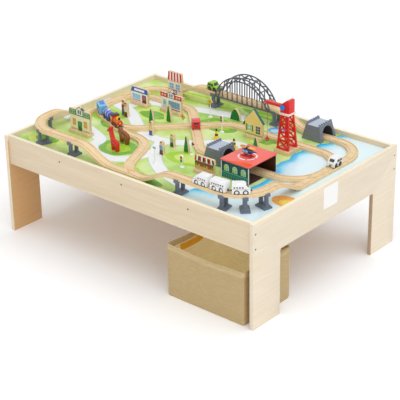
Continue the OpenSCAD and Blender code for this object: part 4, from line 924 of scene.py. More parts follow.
def makeTunnels():
    finish = tunnelStone()
    soften("tunnels", finish, 0.8)
    stones, deep, lean = take(tunnel, "stones stoneDepth lean")
    arch = tunnel["mouth"] / 2
    wide = math.pi * (arch + deep / 2) / stones - tunnel["gap"]
    places = []
    for midX, midY in tunnel["places"]:
        for end in (-1, 1):
            for i in range(stones):
                a = 180 * (i + 0.5) / stones - 90
                rise = tunnel["spring"] + arch * math.cos(math.radians(a))
                places.append((midX + end * (tunnel["length"] / 2 - lean * rise),
                               midY - arch * math.sin(math.radians(a)),
                               ground + rise, a, -end * math.degrees(math.atan(lean)), 0))
    block = box(2 * tunnel["proud"], wide, deep - 0.6, 0, 0, 0.3)
    growCopies("tunnelArchStones", spotTree, places, block, finish, "table")


makeTunnels()
print("tunnels dressed")

crane = {"y": 156.5, "collar": 529.0, "winchX": 288.2, "winchZ": 557.3, "face": 139.5, "sunk": 0.3,
         "knobRadius": 10.0, "knobThick": 8.0, "ribs": 20, "ribLine": 9.25, "jibMiddle": 554.3, "jibHalf": 6.8,
         "headHalf": 16.8}


def towerRed():
    finish, tree, shader = startFinish("towerRed", 0.28)
    tint = mottleOn(tree, noiseOn(tree, 30), (230, 28, 24), 0.92, 1.06)
    upper = over(tree, axesOn(tree, pointsOn(tree))[2], crane["collar"] / 1000 - 0.0001)
    fill(tree, shader, {"Base Color": mixOn(tree, "MIX", upper, tint, tone(246, 232, 222))})  # pale collar
    bumpOn(tree, shader, noiseOn(tree, 1900, detail=2), 0.1, 0.0002)
    return finish


def makeCrane():
    soften("crane_base", wood("craneBaseWood", (240, 206, 158), (222, 178, 126), "x", 0.46, 0.14), 1.0)
    soften("crane_tower", towerRed(), 0.5)
    soften("crane_head", plastic("craneRed", (230, 28, 24), 0.27), 1.4, 3)
    blue = plastic("knobBlue", (24, 138, 232), 0.3)
    x, z, face, r, thick, line = take(crane, "winchX winchZ face knobRadius knobThick ribLine")
    piece = startPiece()
    dial = [(0, 0), (r - 1.6, 0), (r - 0.9, 0.6), (r - 0.9, thick - 1.4), (r - 2.2, thick), (4.6, thick),
            (4.0, thick - 1.2), (0, thick - 1.2)]
    addShape(piece, blue, lathe(dial, 48), at(x, face - crane["sunk"], z, roll=90))
    addShape(piece, blue, lathe([(0, -34), (3.0, -34), (3.0, 0.4), (0, 0.4)], 32), at(x, face, z, roll=90))
    finishPiece(piece, "winchDial", "winch", ["winch_knob"])
    angles = [360 * i / crane["ribs"] for i in range(crane["ribs"])]
    places = [(x + line * math.cos(math.radians(a)), face - crane["sunk"],
               z + line * math.sin(math.radians(a)), 90, -a, 0) for a in angles]
    growCopies("winchRibs", spotTree, places, box(1.1, 1.5, thick - 2.4, 0, 0, 0.9), blue, "winch")
    trim = startPiece()
    pale = plastic("craneTrim", (250, 60, 48), 0.3)
    cap = lathe([(0, 0), (4, 0), (4, 0.7), (3.2, 1.2), (1.4, 1.2), (1.2, 0.8), (0, 0.8)], 28)
    for side in (-1, 1):  # moulded pulley caps at the jib's tip and a bearing cap on the head
        addShape(trim, pale, cap,
                 at(hoist["x"], crane["y"] + side * crane["jibHalf"], crane["jibMiddle"], roll=-90 * side))
    addShape(trim, pale, lathe([(0, 0), (6.5, 0), (6.5, 0.7), (5.6, 1.3), (0, 1.3)], 36),
             at(x, crane["y"] + crane["headHalf"], z, roll=-90))
    finishPiece(trim, "craneCaps", "crane_jib")


makeCrane()
print("crane dressed")

shed = {"x": 308.54, "y": -83.075, "length": 125.0, "width": 155.0, "top": 450.0, "wall": 6.0,
        "heliX": 308.54, "heliY": -89.275, "ringOuter": 36.0, "ringInner": 30.0,
        "sill": 408.0, "spring": 422.0, "window": 11.0, "pane": 8.6, "windowStep": 38.0,
        "band": 400.5, "foot": 382.0, "arcade": 393.0, "arches": 11, "arcadeStep": 11.0, "corner": 61.2}


def shedWalls():
    finish, tree, shader = startFinish("shedWalls", 0.45)
    y = axesOn(tree, pointsOn(tree))[1]
    outward = mathOn(tree, "MULTIPLY", mathOn(tree, "SUBTRACT", y, shed["y"] / 1000), normalOn(tree)[1])
    # faces not looking out from the shed's middle painted dark brown: painted shade inside the shed
    wall = mixOn(tree, "MIX", over(tree, outward, 0.001), tone(74, 38, 22), tone(10, 78, 92))
    grain = greysOn(tree, noiseOn(tree, 40, (1, 1, 12)), 0.3, 0.85, 0.7, 1.05)
    fill(tree, shader, {"Base Color": mixOn(tree, "MULTIPLY", 1.0, wall, grain)})
    bumpOn(tree, shader, noiseOn(tree, 500, (1, 1, 8)), 0.12, 0.0004)
    return finish


def shedRoof():
    finish = paint("roofSalmon", (246, 112, 102), 0.4, 0.05)
    tree = finish.node_tree
    shader = tree.nodes["Principled BSDF"]
    painted = shader.inputs["Base Color"].links[0].from_socket
    # the roof's underside painted dark brown: painted shade under the roof
    inner = below(tree, normalOn(tree)[2], -0.5)
    fill(tree, shader, {"Base Color": mixOn(tree, "MIX", inner, painted, tone(70, 36, 22))})
    return finish


def makeShed():
    soften("engine_shed", shedWalls(), 0.8)
    soften("shed_roof", shedRoof(), 1.2)
    midX, midY, z, heliX, heliY = take(shed, "x y top heliX heliY")
    marks = startPiece()
    low, left, right = midY - shed["width"] / 2 - 2, midX - 61, midX + 63
    corner = [(left + 30, low), (right, low), (right, low + 26), (left + 84, low + 24)]
    addShape(marks, paint("roofOrange", (244, 82, 14), 0.4), slab(corner, z - 0.3, z + 0.15))
    white = paint("roofWhite", (252, 248, 246), 0.4)
    for start in range(0, 360, 60):  # landing ring in six parts
        ring = arc(heliX, heliY, shed["ringOuter"], start + 5, start + 55, 8)
        ring += arc(heliX, heliY, shed["ringInner"], start + 55, start + 5, 8)
        addShape(marks, white, slab(ring, z - 0.3, z + 0.3))
    finishPiece(marks, "shedRoofMarks", "table")
    # a dark sheet under the track inside the shed: painted shade on the floor
    shadeSheet = startPiece()
    floor = box(shed["length"] - 1, shed["width"] - 2 * shed["wall"], 1.0, midX, midY, ground - 0.2)
    addShape(shadeSheet, paint("shedFloor", (66, 38, 24), 0.6, 0.12, (12, 1, 1)), floor, bevel=0.3)
    finishPiece(shadeSheet, "shedFloor", "table")
    front = startPiece()
    pale, glass = paint("shedPale", (196, 226, 176), 0.4), paint("shedGlass", (150, 190, 140), 0.25, 0.12)
    band, trim = paint("shedBand", (84, 178, 160), 0.4), paint("shedTrim", (238, 240, 232), 0.4)
    sill, spring, window, pane, step = take(shed, "sill spring window pane windowStep")
    foot, arcade, pitch = take(shed, "foot arcade arcadeStep")
    for side in (-1, 1):
        y = midY + side * shed["width"] / 2
        for x in (midX - step, midX, midX + step):  # arched windows with bars
            outer = [(x - window, sill), (x + window, sill)] + arc(x, spring, window, 0, 180, 14)
            inner = [(x - pane, sill + 2), (x + pane, sill + 2)] + arc(x, spring, pane, 0, 180, 12)
            addShape(front, pale, upright(outer, 1.2, y), bevel=0.3)
            addShape(front, glass, upright(inner, 1.8, y))
            addShape(front, pale, box(1.4, 2.4, 21, x, y, sill + 1.5))
            addShape(front, pale, box(18, 2.4, 1.4, x, y, spring - 1))
        addShape(front, band, box(122, 1.4, 3.6, midX, y, shed["band"]), bevel=0.4)
        for i in range(shed["arches"]):  # small arcade under the band
            x = midX + pitch * (i - (shed["arches"] - 1) / 2)
            arch = [(x - 4.4, foot), (x - 3, foot)] + arc(x, arcade, 3, 180, 0, 8)
            arch += [(x + 3, foot), (x + 4.4, foot)] + arc(x, arcade, 4.6, 0, 180, 8)
            addShape(front, band, upright(arch, 1.4, y))
        for end in (-1, 1):
            addShape(front, trim, box(3.2, 2.0, 62, midX + end * shed["corner"], y, foot - 0.5), bevel=0.4)
    finishPiece(front, "shedWindows", "table")


makeShed()
print("shed dressed")

helicopter = {
    "length": 46.0, "width": 22.0, "height": 22.0, "skidHeight": 8.0, "base": 450.0, "rotorZ": 482.0,
    "blade": 66.0, "bladeWide": 15.0,
    "hull": ((-1.0, 0.12, 0.16, -0.12), (-0.94, 0.5, 0.5, -0.1), (-0.8, 0.78, 0.76, -0.06),
             (-0.55, 0.95, 0.94, -0.01), (-0.2, 1.0, 1.0, 0.0), (0.2, 1.0, 1.0, 0.0), (0.55, 0.9, 0.92, 0.03),
             (0.8, 0.7, 0.72, 0.1), (0.95, 0.42, 0.46, 0.16), (1.0, 0.2, 0.24, 0.18)),
    "tail": ((14, 14, 1.2), (24, 14.5, 1.0), (34, 15, 0.8), (40.5, 15.2, 0.62)), "tailRadius": 3.5,
    "fin": [(33, 14), (40.5, 14), (42, 22), (38, 22)],
    "frontPane": [(-18, 9), (-5, 9), (-5, 18), (-12, 18), (-17, 14)],
    "sidePane": [(-2, 10), (8, 10), (8, 18), (-2, 18)],
    "mast": [(0, 20), (2.4, 20), (2.4, 27.5), (1.8, 28), (0, 28)],
    "skid": 7.5, "railZ": 2.4, "rail": 2.4, "strut": 1.5, "hatching": (10.5, 17, 23.5),
}


def makeHelicopter():
    x, y, low = shed["heliX"], shed["heliY"], helicopter["base"]
    halfLength, halfWidth, halfHeight = (size / 2 for size in take(helicopter, "length width height"))
    navy = paint("heliNavy", (28, 40, 120), 0.28, 0.06, coat=0.5)
    red = paint("heliRed", (206, 28, 40), 0.3, 0.05, coat=0.4)
    glass = paint("heliGlass", (150, 206, 236), 0.12, 0.05, coat=0.6)
    yellow = paint("heliYellow", (246, 176, 40), 0.3, 0.05, coat=0.4)
    black = paint("heliBlack", (30, 30, 34), 0.35)
    piece = startPiece()
    rings = []
    for share, wide, tall, lift in helicopter["hull"]:  # shares of the half sizes
        ring = []
        for a in turns(28):
            c, s = math.cos(a), math.sin(a)
            ring.append((share * halfLength, halfWidth * wide * math.copysign(abs(c) ** 0.7, c),
                         halfHeight * (1 + lift + tall * math.copysign(abs(s) ** 0.75, s))))
        rings.append(ring)
    place = at(x, y, low + helicopter["skidHeight"])
    addShape(piece, navy, loft(rings), place)
    skid, railZ = take(helicopter, "skid railZ")
    for side in (-1, 1):  # side windows and a door line
        addShape(piece, glass, upright(helicopter["frontPane"], 1.0, side * 10.7), place, 0.3)
        addShape(piece, glass, upright(helicopter["sidePane"], 1.0, side * 10.9), place, 0.3)
        addShape(piece, yellow, box(40, 0.8, 1.6, x + 1, y + side * 10.9, low + 13.5), bevel=0.2)
        bend = ((-25, 5.5), (-23.5, 3.4), (-21, railZ), (22, railZ))
        runner = [(x + dx, y + side * skid, low + dz) for dx, dz in bend]
        addShape(piece, red, tube(runner, helicopter["rail"], 14))
        for dx in (-11, 11):
            leg = [(x + dx, y + side * skid, low + railZ), (x + dx, y + side * 5.6, low + 11)]
            addShape(piece, red, tube(leg, helicopter["strut"], 10))
    boom = helicopter["tailRadius"]
    tail = []
    for px, pz, share in helicopter["tail"]:
        tail.append([(px, boom * share * math.cos(a), pz + boom * share * math.sin(a)) for a in turns(16)])
    addShape(piece, navy, loft(tail), place)
    addShape(piece, yellow, upright(helicopter["fin"], 1.6), place, 0.4)
    addShape(piece, black, lathe(helicopter["mast"], 20), place)
    finishPiece(piece, "helicopterBody", "table", ["helicopter"])
    rotor = startPiece()
    half, tip = helicopter["blade"] / 2, helicopter["bladeWide"] / 2
    for end in (0, 180):  # one blade plain, one with dark hatching
        place = at(x, y, helicopter["rotorZ"], end)
        blade = [(0, -4.0), (9, -tip)] + arc(half - tip, 0, tip, -90, 90, 12) + [(9, tip), (0, 4.0)]
        addShape(rotor, yellow, slab(blade, 0.5, 3.3), place, 0.6)
        for start in helicopter["hatching"] if end else ():
            bar = [(start - 1.2, 1 - tip), (start + 1.8, 1 - tip), (start + 4.8, tip - 1),
                   (start + 1.8, tip - 1)]
            addShape(rotor, black, slab(bar, 0.4, 3.5), place, 0.2)
    addShape(rotor, black, lathe([(0, 0), (6, 0), (6, 3.2), (5, 4), (0, 4)], 28),
             at(x, y, helicopter["rotorZ"]))
    finishPiece(rotor, "helicopterBlades", "rotor", ["helicopter_rotor"])


makeHelicopter()
print("helicopter built")

basket = {"x": 384.0, "y": -291.0, "halfX": 173.0, "halfY": 128.0, "height": 203.5, "corner": 10.0,
          "cloth": 3.0, "bulge": 2.6, "sink": 4.0, "ripple": 0.8, "sags": (6.0, 5.0, 6.0, 9.0), "hem": 21.0,
          "piping": 1.3, "strapLength": 120.0, "strapWidth": 25.0, "strapThick": 2.0, "strapTop": 175.0,
          "strapBow": 5.5, "strapSewn": 14.0, "stitchSpacing": 4.8, "strapStitchSpacing": 4.0, "weave": 0.0021,
          "levels": (0.0, 0.015, 0.04, 0.1, 0.2, 0.32, 0.45, 0.58, 0.7, 0.8, 0.88, 0.94, 0.98, 1.0)}


def basketRing(level, out, lift=0.0):  # the cloth wall's line at a share of its height, moved outwards
    midX, midY, halfX, halfY, height, corner = take(basket, "x y halfX halfY height corner")
    ring, halves = [], (halfX, halfY)
    for k in range(4):
        a = math.pi / 2 * k
        nx, ny = round(math.cos(a)), round(math.sin(a))
        reach, span = halves[k % 2] + out, halves[(k + 1) % 2] - corner
        for i in range(21):
            u = -1 + i / 10
            soft = math.cos(math.pi * u / 2)
            push = reach + soft * (basket["bulge"] * math.sin(math.pi * level)
                                   - basket["sink"] * soft * level ** 5
                                   + basket["ripple"] * math.sin(7 * u + 2 * k) * math.sin(4 * level + k))
            z = height * level - basket["sags"][k] * soft ** 2 * level ** 3 + lift
            ring.append((midX + nx * push - ny * u * span, midY + ny * push + nx * u * span, z))
        for j in range(1, 6):
            b = a + math.pi / 12 * j
            ring.append((midX + (nx - ny) * (halfX - corner) + (corner + out) * math.cos(b),
                         midY + (nx + ny) * (halfY - corner) + (corner + out) * math.sin(b),
                         height * level + lift))
    return ring


def cloth(name, colour, pitch, depth, glow=0.0):  # glow is painted light: the cloth emits a little, standing in for light that comes through the weave
    finish, tree, shader = startFinish(name, 0.88)
    x, y, z = axesOn(tree, pointsOn(tree))
    across, along = (mathOn(tree, "SINE", mathOn(tree, "MULTIPLY", way, 2 * math.pi / pitch))
                     for way in (mathOn(tree, "ADD", x, y), z))
    threads = mathOn(tree, "MULTIPLY", across, along)
    slubs = mottleOn(tree, noiseOn(tree, 40, (1, 1, 5)), colour, 0.9, 1.06)
    lit = greysOn(tree, mathOn(tree, "MULTIPLY_ADD", threads, 0.5, 0.5), 0.2, 0.9, 0.8, 1.04)
    tint = mixOn(tree, "MULTIPLY", 1.0, slubs, lit)
    fill(tree, shader, {"Base Color": tint, "Emission Color": tint, "Emission Strength": glow,
                        "Sheen Weight": 0.15})
    bumpOn(tree, shader, threads, 0.35, depth)
    return finish


def makeBasket():
    midX, midY, halfX, halfY, height, thick, weave = take(basket, "x y halfX halfY height cloth weave")
    canvas = cloth("basketCanvas", (200, 175, 127), weave, 0.0006)
    # the lining's pale tone and the glow of lining and hem are painted light in the shaded bin
    lining = cloth("basketLining", (250, 236, 192), weave, 0.0006, 0.12)
    hemCanvas = cloth("basketHem", (212, 189, 142), weave, 0.0006, 0.02)
    levels = basket["levels"]
    rings = [basketRing(0.0, -3.0)] + [basketRing(level, 0.0 if level else -1.2) for level in levels]
    rings.append(basketRing(1.0, -thick / 2, 0.7))
    rings += [basketRing(level, -thick) for level in levels[:2:-1]]
    rings.append(basketRing(0.018, -thick - 2.0))
    shell = startPiece()
    addShape(shell, canvas, loft(rings))
    shell["finishes"].append(lining)
    for face in shell["bm"].faces:  # the lining looks to the middle or up
        middle = face.calc_center_median()
        if face.normal.dot(middle - Vector((midX, midY, height * 0.6))) < 0 and middle.z > 3.0:
            face.material_index = 1
    low, half = 1 - basket["hem"] / height, 1 - basket["hem"] * 0.5 / height
    turned = [(low, -0.5), (low, 1.7), (half, 2.1), (1.0, 1.6), (1.0, -thick / 2, 1.9), (1.0, -thick - 1.1),
              (half, -thick - 1.3), (low, -thick - 0.9), (low, 0.5 - thick), (0.985, 0.6 - thick),
              (0.985, -0.6)]
    addShape(shell, hemCanvas, loft([basketRing(*line) for line in turned], loop=True))
    seam = basket["corner"] * 0.29 - 0.3
    for sx, sy in ((1, 1), (-1, 1), (-1, -1), (1, -1)):  # piped corner seams
        post = [(midX + sx * (halfX - seam), midY + sy * (halfY - seam),
                 height * (0.03 + (low - 0.03) * i / 11)) for i in range(12)]
        addShape(shell, hemCanvas, tube(post, basket["piping"], 8))
    finishPiece(shell, "basketShell", "bin", ["storage_bin"], 60)
    lines = []
    for level, out in ((low + 0.012, 1.85), (1 - 0.025, 1.95), (low + 0.012, -thick - 1.05),
                       (1 - 0.025, -thick - 1.35)):
        line = basketRing(level, out)
        lines.append(line + line[:1])
    return lines


def makeStraps():
    midX, midY, halfX, thick = take(basket, "x y halfX cloth")
    long, wide, bowed = take(basket, "strapLength strapWidth strapBow")
    # the straps glow a little: painted light
    web = cloth("strapWeb", (228, 164, 28), 0.0032, 0.0009, 0.12)
    straps, boxes = startPiece(), []
    half, edge, z = long / 2, basket["strapThick"] / 2, basket["strapTop"] - wide
    section = [(-edge, 0.6), (-edge + 0.6, 0), (edge - 0.6, 0), (edge, 0.6), (edge, wide - 0.6),
               (edge - 0.6, wide),
               (-edge + 0.6, wide), (-edge, wide - 0.6)]
    for side in (-1, 1):
        rows = []
        for i in range(25):
            y = -half + long * i / 24
            power = 0.6 if abs(y) < half - basket["strapSewn"] else 2
            bow = bowed * max(0.0, math.cos(math.pi * y / long)) ** power
            x = midX + side * (halfX - thick - 0.4 - edge - bow)
            rows.append([(x + dx, midY + y, z + dz) for dx, dz in section])
        addShape(straps, web, loft(rows))
        for end in (-1, 1):  # a sewn square with a cross at each end
            x, y = midX + side * (halfX - thick - 3.0), midY + end * (half - 9)
            square = [(x, y + dy, z + dz) for dy, dz in rect(-7, 4, 7, wide - 4)]
            boxes += [square + square[:1], square[::2], square[1::2]]
    finishPiece(straps, "basketStraps", "bin", ["bin_straps"], 50)
    return boxes


def sewBasket():
    lines, boxes = makeBasket(), makeStraps()
    stitch = tube([(-1.6, 0, 0), (-1.2, 0, 0.3), (1.2, 0, 0.3), (1.6, 0, 0)], 0.34, 6)
    thread = paint("basketThread", (150, 124, 82), 0.8, 0.08)
    strapThread = paint("strapThread", (228, 170, 70), 0.8, 0.08)
    growCopies("hemStitches", lineTree, lines, stitch, thread, "bin", basket["stitchSpacing"])
    growCopies("strapStitches", lineTree, boxes, stitch, strapThread, "bin", basket["strapStitchSpacing"])


sewBasket()
print("basket sewn")

village = {"thick": 10.0, "foot": 14.0, "footDeep": 30.0}
houseForms = {
    "gable": [(0, 0), (1, 0), (1, 0.6), (1.04, 0.6), (1.04, 0.84), (0.66, 0.84), (0.5, 1), (0.34, 0.84),
              (-0.04, 0.84), (-0.04, 0.6), (0, 0.6)],
    "shop": [(0, 0), (1, 0), (1, 0.64), (1.05, 0.64), (1, 1), (0.06, 1), (-0.05, 0.64), (0, 0.64)],
    "peak": [(0, 0), (1, 0), (1, 0.5), (1.05, 0.5), (0.5, 1), (-0.05, 0.5), (0, 0.5)],
}
blockWood = wood("blockWood", (240, 214, 172), (226, 192, 142), "z", 0.5, 0.1)


def paintFaces(piece, place, thick, marks):  # the same on the front and the back
    for level, (colour, shape) in enumerate(marks):
        addShape(piece, colour, upright(shape, thick + 2 * (0.3 + 0.012 * level)), place)


def standee(piece, finish, outline, thick, place, marks, bevel, steps=2):  # a cut and painted board
    addShape(piece, finish, upright(outline, thick), place, bevel, steps)
    paintFaces(piece, place, thick, marks)


def windowMarks(bars, glass, u0, v0, u1, v1, columns=2, rows=2, bar=1.4):
    marks = [(bars, rect(u0, v0, u1, v1))]
    wide, tall = (u1 - u0 - bar * (columns + 1)) / columns, (v1 - v0 - bar * (rows + 1)) / rows
    for i in range(columns):
        for j in range(rows):
            u, v = u0 + bar + i * (wide + bar), v0 + bar + j * (tall + bar)
            marks.append((glass, rect(u, v, u + wide, v + tall)))
    return marks


def stripeMarks(tones, u0, u1, v0, v1, count, lean=0.06):  # awning stripes with a scalloped hem
    marks, wide = [], (u1 - u0) / count
    for i in range(count):
        a, b = u0 + i * wide, u0 + (i + 1) * wide
        lowA, lowB = a * (1 + lean), b * (1 + lean)
        bow = [(lowA + (lowB - lowA) * t / 6, v0 - 3.6 * math.sin(math.pi * t / 6)) for t in range(7)]
        marks.append((tones[i % len(tones)], bow + [(b, v1), (a, v1)]))
    return marks


# wall, roof board, and a gable with two arched panes
def gableMarks(half, tall, plaster, roof, edge, glass, lifts):
    wall, eave = tall * 0.6, tall * 0.84
    marks = [(plaster, rect(1 - half, 0.6, half - 1, wall)),
             (roof, rect(-half - 3, wall + 0.8, half + 3, eave - 0.8))]
    for colour, wide, low, high, top in ((edge, 19, lifts[0], 0.2, 1.2),
                                         (whitewash, 16.5, lifts[1], -0.6, 3.6)):
        marks.append((colour, [(-wide, wall + low), (wide, wall + low), (wide, eave + high), (0, tall - top),
                               (-wide, eave + high)]))
    return marks + [(glass, archTop(u, wall + lifts[2], u + 8.1, eave + lifts[3])) for u in (-9.5, 1.4)]


whitewash, cream, brass, red = (246, 244, 238), (246, 234, 208), (240, 200, 80), (206, 34, 40)


def greenHouse(half, tall):
    wall, eave = tall * 0.6, tall * 0.84
    marks = gableMarks(half, tall, cream, (44, 138, 66), (70, 84, 88), (112, 128, 136), (3, 4.6, 8, 2))
    for u in (-50, -35.5, 22.5, 37):
        marks += windowMarks((226, 240, 206), (36, 108, 60), u, wall + 5, u + 12.5, eave - 4, 2, 1)
    for u in (-39, 20):
        marks += windowMarks((236, 214, 150), (216, 160, 62), u, 17, u + 19, 45)
    return marks + [((30, 112, 54), rect(-11, 0.6, 11, 38)), ((70, 160, 90), rect(-8, 20, 8, 35)),
                    (brass, disc(7, 17, 1.6, 12)), ((214, 190, 150), rect(-50, 0.6, -14, 7)),
                    ((214, 190, 150), rect(14, 0.6, 50, 7))]


def blueShop(half, tall):
    wall = tall * 0.64
    return [(whitewash, rect(1 - half, 0.6, half - 1, wall)),
            ((36, 102, 190), [(-46, wall + 0.8), (46, wall + 0.8), (43, tall - 1), (-38, tall - 1)]),
            ((250, 250, 250), rect(-27, wall + 6, 27, tall - 6)),
            *windowMarks((206, 222, 236), (150, 204, 236), -38, 9, 6, 32, 3, 1),
            ((126, 30, 42), rect(14, 0.6, 36, 33)), ((180, 90, 96), rect(17, 15, 33, 30)),
            (brass, disc(17.4, 12, 1.4, 12)), ((196, 60, 60), rect(-38, 4, 6, 7))]


def redHouse(half, tall):
    marks = gableMarks(half, tall, whitewash, red, (126, 40, 44), (96, 140, 196), (2, 3.4, 6, 1))
    middle = (tall * 0.6 + tall * 0.84) / 2
    for colour, radius, count in (((250, 232, 220), 4.6, 20), (red, 2.2, 14)):  # rosettes on the roof board
        marks += [(colour, disc(u, middle, radius, count)) for u in (-44, -30, 30, 44)]
    marks += windowMarks((196, 208, 222), (120, 160, 200), -14, 9, 46, 38, 4, 1)
    return marks + [((214, 216, 222), rect(-44, 0.6, -23, 37)), ((150, 180, 210), archTop(-40, 17, -27, 34)),
                    ((160, 60, 50), rect(-14, 2, 46, 6))]


def awningShop(half, tall):
    wall, stripe = tall * 0.64, (214, 34, 44)
    marks = [(cream, rect(1 - half, 0.6, half - 1, wall - 3))]
    marks += stripeMarks((stripe, (250, 248, 244)), -33, 34.5, wall + 3, tall - 1.2, 9)
    for u in (-29, 4):
        marks += windowMarks((250, 250, 250), (120, 184, 228), u, 32, u + 25, 57)
    return marks + [((60, 130, 190), rect(-11, 0.6, 11, 27)), ((190, 224, 240), rect(-7, 10, 7, 24)),
                    (stripe, rect(-34, 28, 34, 30.4))]


def yellowHouse(half, tall):
    wall, yellow, edge, shutter = tall * 0.5, (246, 212, 126), (252, 244, 220), (44, 140, 84)
    return [(yellow, rect(1 - half, 0.6, half - 1, wall + 2)),
            (yellow, [(-41.5, wall + 1), (41.5, wall + 1), (0, tall - 2.6)]),
            (edge, [(-44, wall + 0.4), (-41.4, wall + 0.4), (0, tall - 4.4), (0, tall - 1.4)]),
            (edge, [(44, wall + 0.4), (0, tall - 1.4), (0, tall - 4.4), (41.4, wall + 0.4)]),
            *windowMarks((250, 250, 244), (156, 200, 150), -28, 14, -10, 40),
            (shutter, rect(-36, 14, -29, 40)), (shutter, rect(-9, 14, -2, 40)),
            *windowMarks((236, 226, 196), (64, 74, 84), 9, 9, 33, 42, 2, 3),
            ((150, 190, 90), rect(1 - half, 0.6, half - 1, 6))]


def marketStall(half, tall):
    wall, fruit = tall * 0.64, ((110, 160, 50), (226, 150, 40), (190, 60, 40))
    return [((120, 78, 46), rect(1 - half, 0.6, half - 1, wall - 2)),
            *stripeMarks((red, (250, 248, 244), (38, 36, 40)), -41, 43, wall + 2.4, tall - 1, 12),
            *((fruit[i % 3], disc(-36 + 12 * i, 16, 5.2, 14)) for i in range(7)),
            ((214, 176, 120), rect(-42, 1, 42, 12)), ((180, 140, 90), rect(-42, 5.6, 42, 7))]


houses = {  # x, y, width, height, outline and painted front
    "greenHouse": (-414, -199, 104, 112, "gable", greenHouse),
    "blueShop": (-438, 157, 88, 74, "shop", blueShop),
    "redHouse": (-284, 173, 104, 92, "gable", redHouse),
    "awningShop": (-365, 286.5, 72, 118, "shop", awningShop),
    "yellowHouse": (127, 176, 82, 118, "peak", yellowHouse),
    "marketStall": (190, -182.5, 88, 66, "shop", marketStall),
}


def makeVillage():
    thick, foot = take(village, "thick foot")
    block = startPiece()
    for x, y, wide, height, form, front in houses.values():
        tall = height - foot
        place = at(x, y, ground + foot)
        standee(block, blockWood, spread(houseForms[form], wide, tall), thick, place, front(wide / 2, tall),
                0.7)
        addShape(block, blockWood, box(wide, village["footDeep"], foot), at(x, y, ground), 1.2)
        for side in (-1, 1) if form == "peak" else ():  # green roof boards on the slopes
            u, v = side * wide * 0.55, tall * 0.5
            board = [(0, tall), (u, v), (u + side * 1.0, v + 1.4), (0, tall + 1.7)]
            addShape(block, (26, 100, 70), upright(board, thick + 1.6), place, 0.3)
    finishPiece(block, "villageHouses", "table", ["house_fronts"])


makeVillage()
print("village painted")

garden = {
    "firs": [(-282, 53, 58), (-232, 99, 70), (13, -78, 66), (182, 118, 38.5)],
    "firWidth": 24.0, "firThick": 10.0,
    "firLine": [(0.08, 0), (0.92, 0), (1, 0.08), (0.9, 0.36), (0.74, 0.7), (0.62, 0.95), (0.54, 1), (0.46, 1),
                (0.38, 0.95), (0.26, 0.7), (0.1, 0.36), (0, 0.08)],
    "bushes": [(-41, 271, 24), (17, 259, 9.6)],
    "bushLine": [(0.03, 0), (0.97, 0), (1, 0.1), (0.95, 0.35), (0.87, 0.6), (0.74, 0.82), (0.6, 0.96), (0.5, 1),
                 (0.4, 0.96), (0.26, 0.82), (0.13, 0.6), (0.05, 0.35), (0, 0.1)],
    "people": [(-415, 40, 66), (-395, 32, 62), (-196, -41, 58), (-44, -150, 54), (-61, -73, 52)],
    "personWidth": 20.0, "personThick": 12.0,
    "personLine": [(0.04, 0), (0.96, 0), (1, 0.05), (0.92, 0.36), (0.98, 0.64), (0.84, 0.74), (0.88, 0.86),
                   (0.74, 0.96), (0.5, 1), (0.26, 0.96), (0.12, 0.86), (0.16, 0.74), (0.02, 0.64), (0.08, 0.36),
                   (0, 0.05)],
    "clothes": [((70, 92, 140), (196, 60, 52), (86, 56, 36)), ((110, 74, 44), (240, 236, 226), (60, 44, 34)),
                ((60, 110, 170), (236, 214, 120), (120, 70, 40)), ((96, 66, 46), (110, 160, 200), (70, 50, 40)),
                ((60, 64, 80), (150, 190, 90), (150, 96, 50))],
}
animals = {"thick": 14.0, "turn": -12.0, "herd": [
    {"x": -214, "y": -230, "w": 62, "h": 90, "base": (216, 30, 34), "patch": (236, 84, 60), "eye": (0.14, 0.86),
     "spots": [(0.72, 0.36, 4.2), (0.86, 0.3, 3.4), (0.6, 0.36, 3.6), (0.48, 0.52, 3.2), (0.4, 0.64, 2.8),
               (0.32, 0.78, 2.4)],
     "line": [(0.42, 0), (0.56, 0), (0.58, 0.17), (0.8, 0.17), (0.82, 0), (0.97, 0), (1, 0.34), (0.9, 0.46),
              (0.56, 0.5), (0.36, 0.84), (0.4, 0.96), (0.3, 1), (0.24, 0.95), (0.03, 0.84), (0, 0.76),
              (0.08, 0.72), (0.2, 0.76), (0.34, 0.4)]},
    {"x": -228, "y": -160, "w": 64, "h": 56, "base": (142, 78, 34), "patch": (182, 116, 62),
     "eye": (0.14, 0.84),
     "spots": [(0.56, 0.54, 7.0), (0.84, 0.54, 4.0), (0.08, 0.72, 2.8)],
     "line": [(0.2, 0), (0.36, 0), (0.4, 0.28), (0.68, 0.26), (0.72, 0), (0.9, 0), (1, 0.5), (0.92, 0.74),
              (0.6, 0.84), (0.36, 0.84), (0.24, 1), (0.1, 0.98), (0, 0.8), (0.02, 0.68), (0.14, 0.6),
              (0.18, 0.3)]},
]}


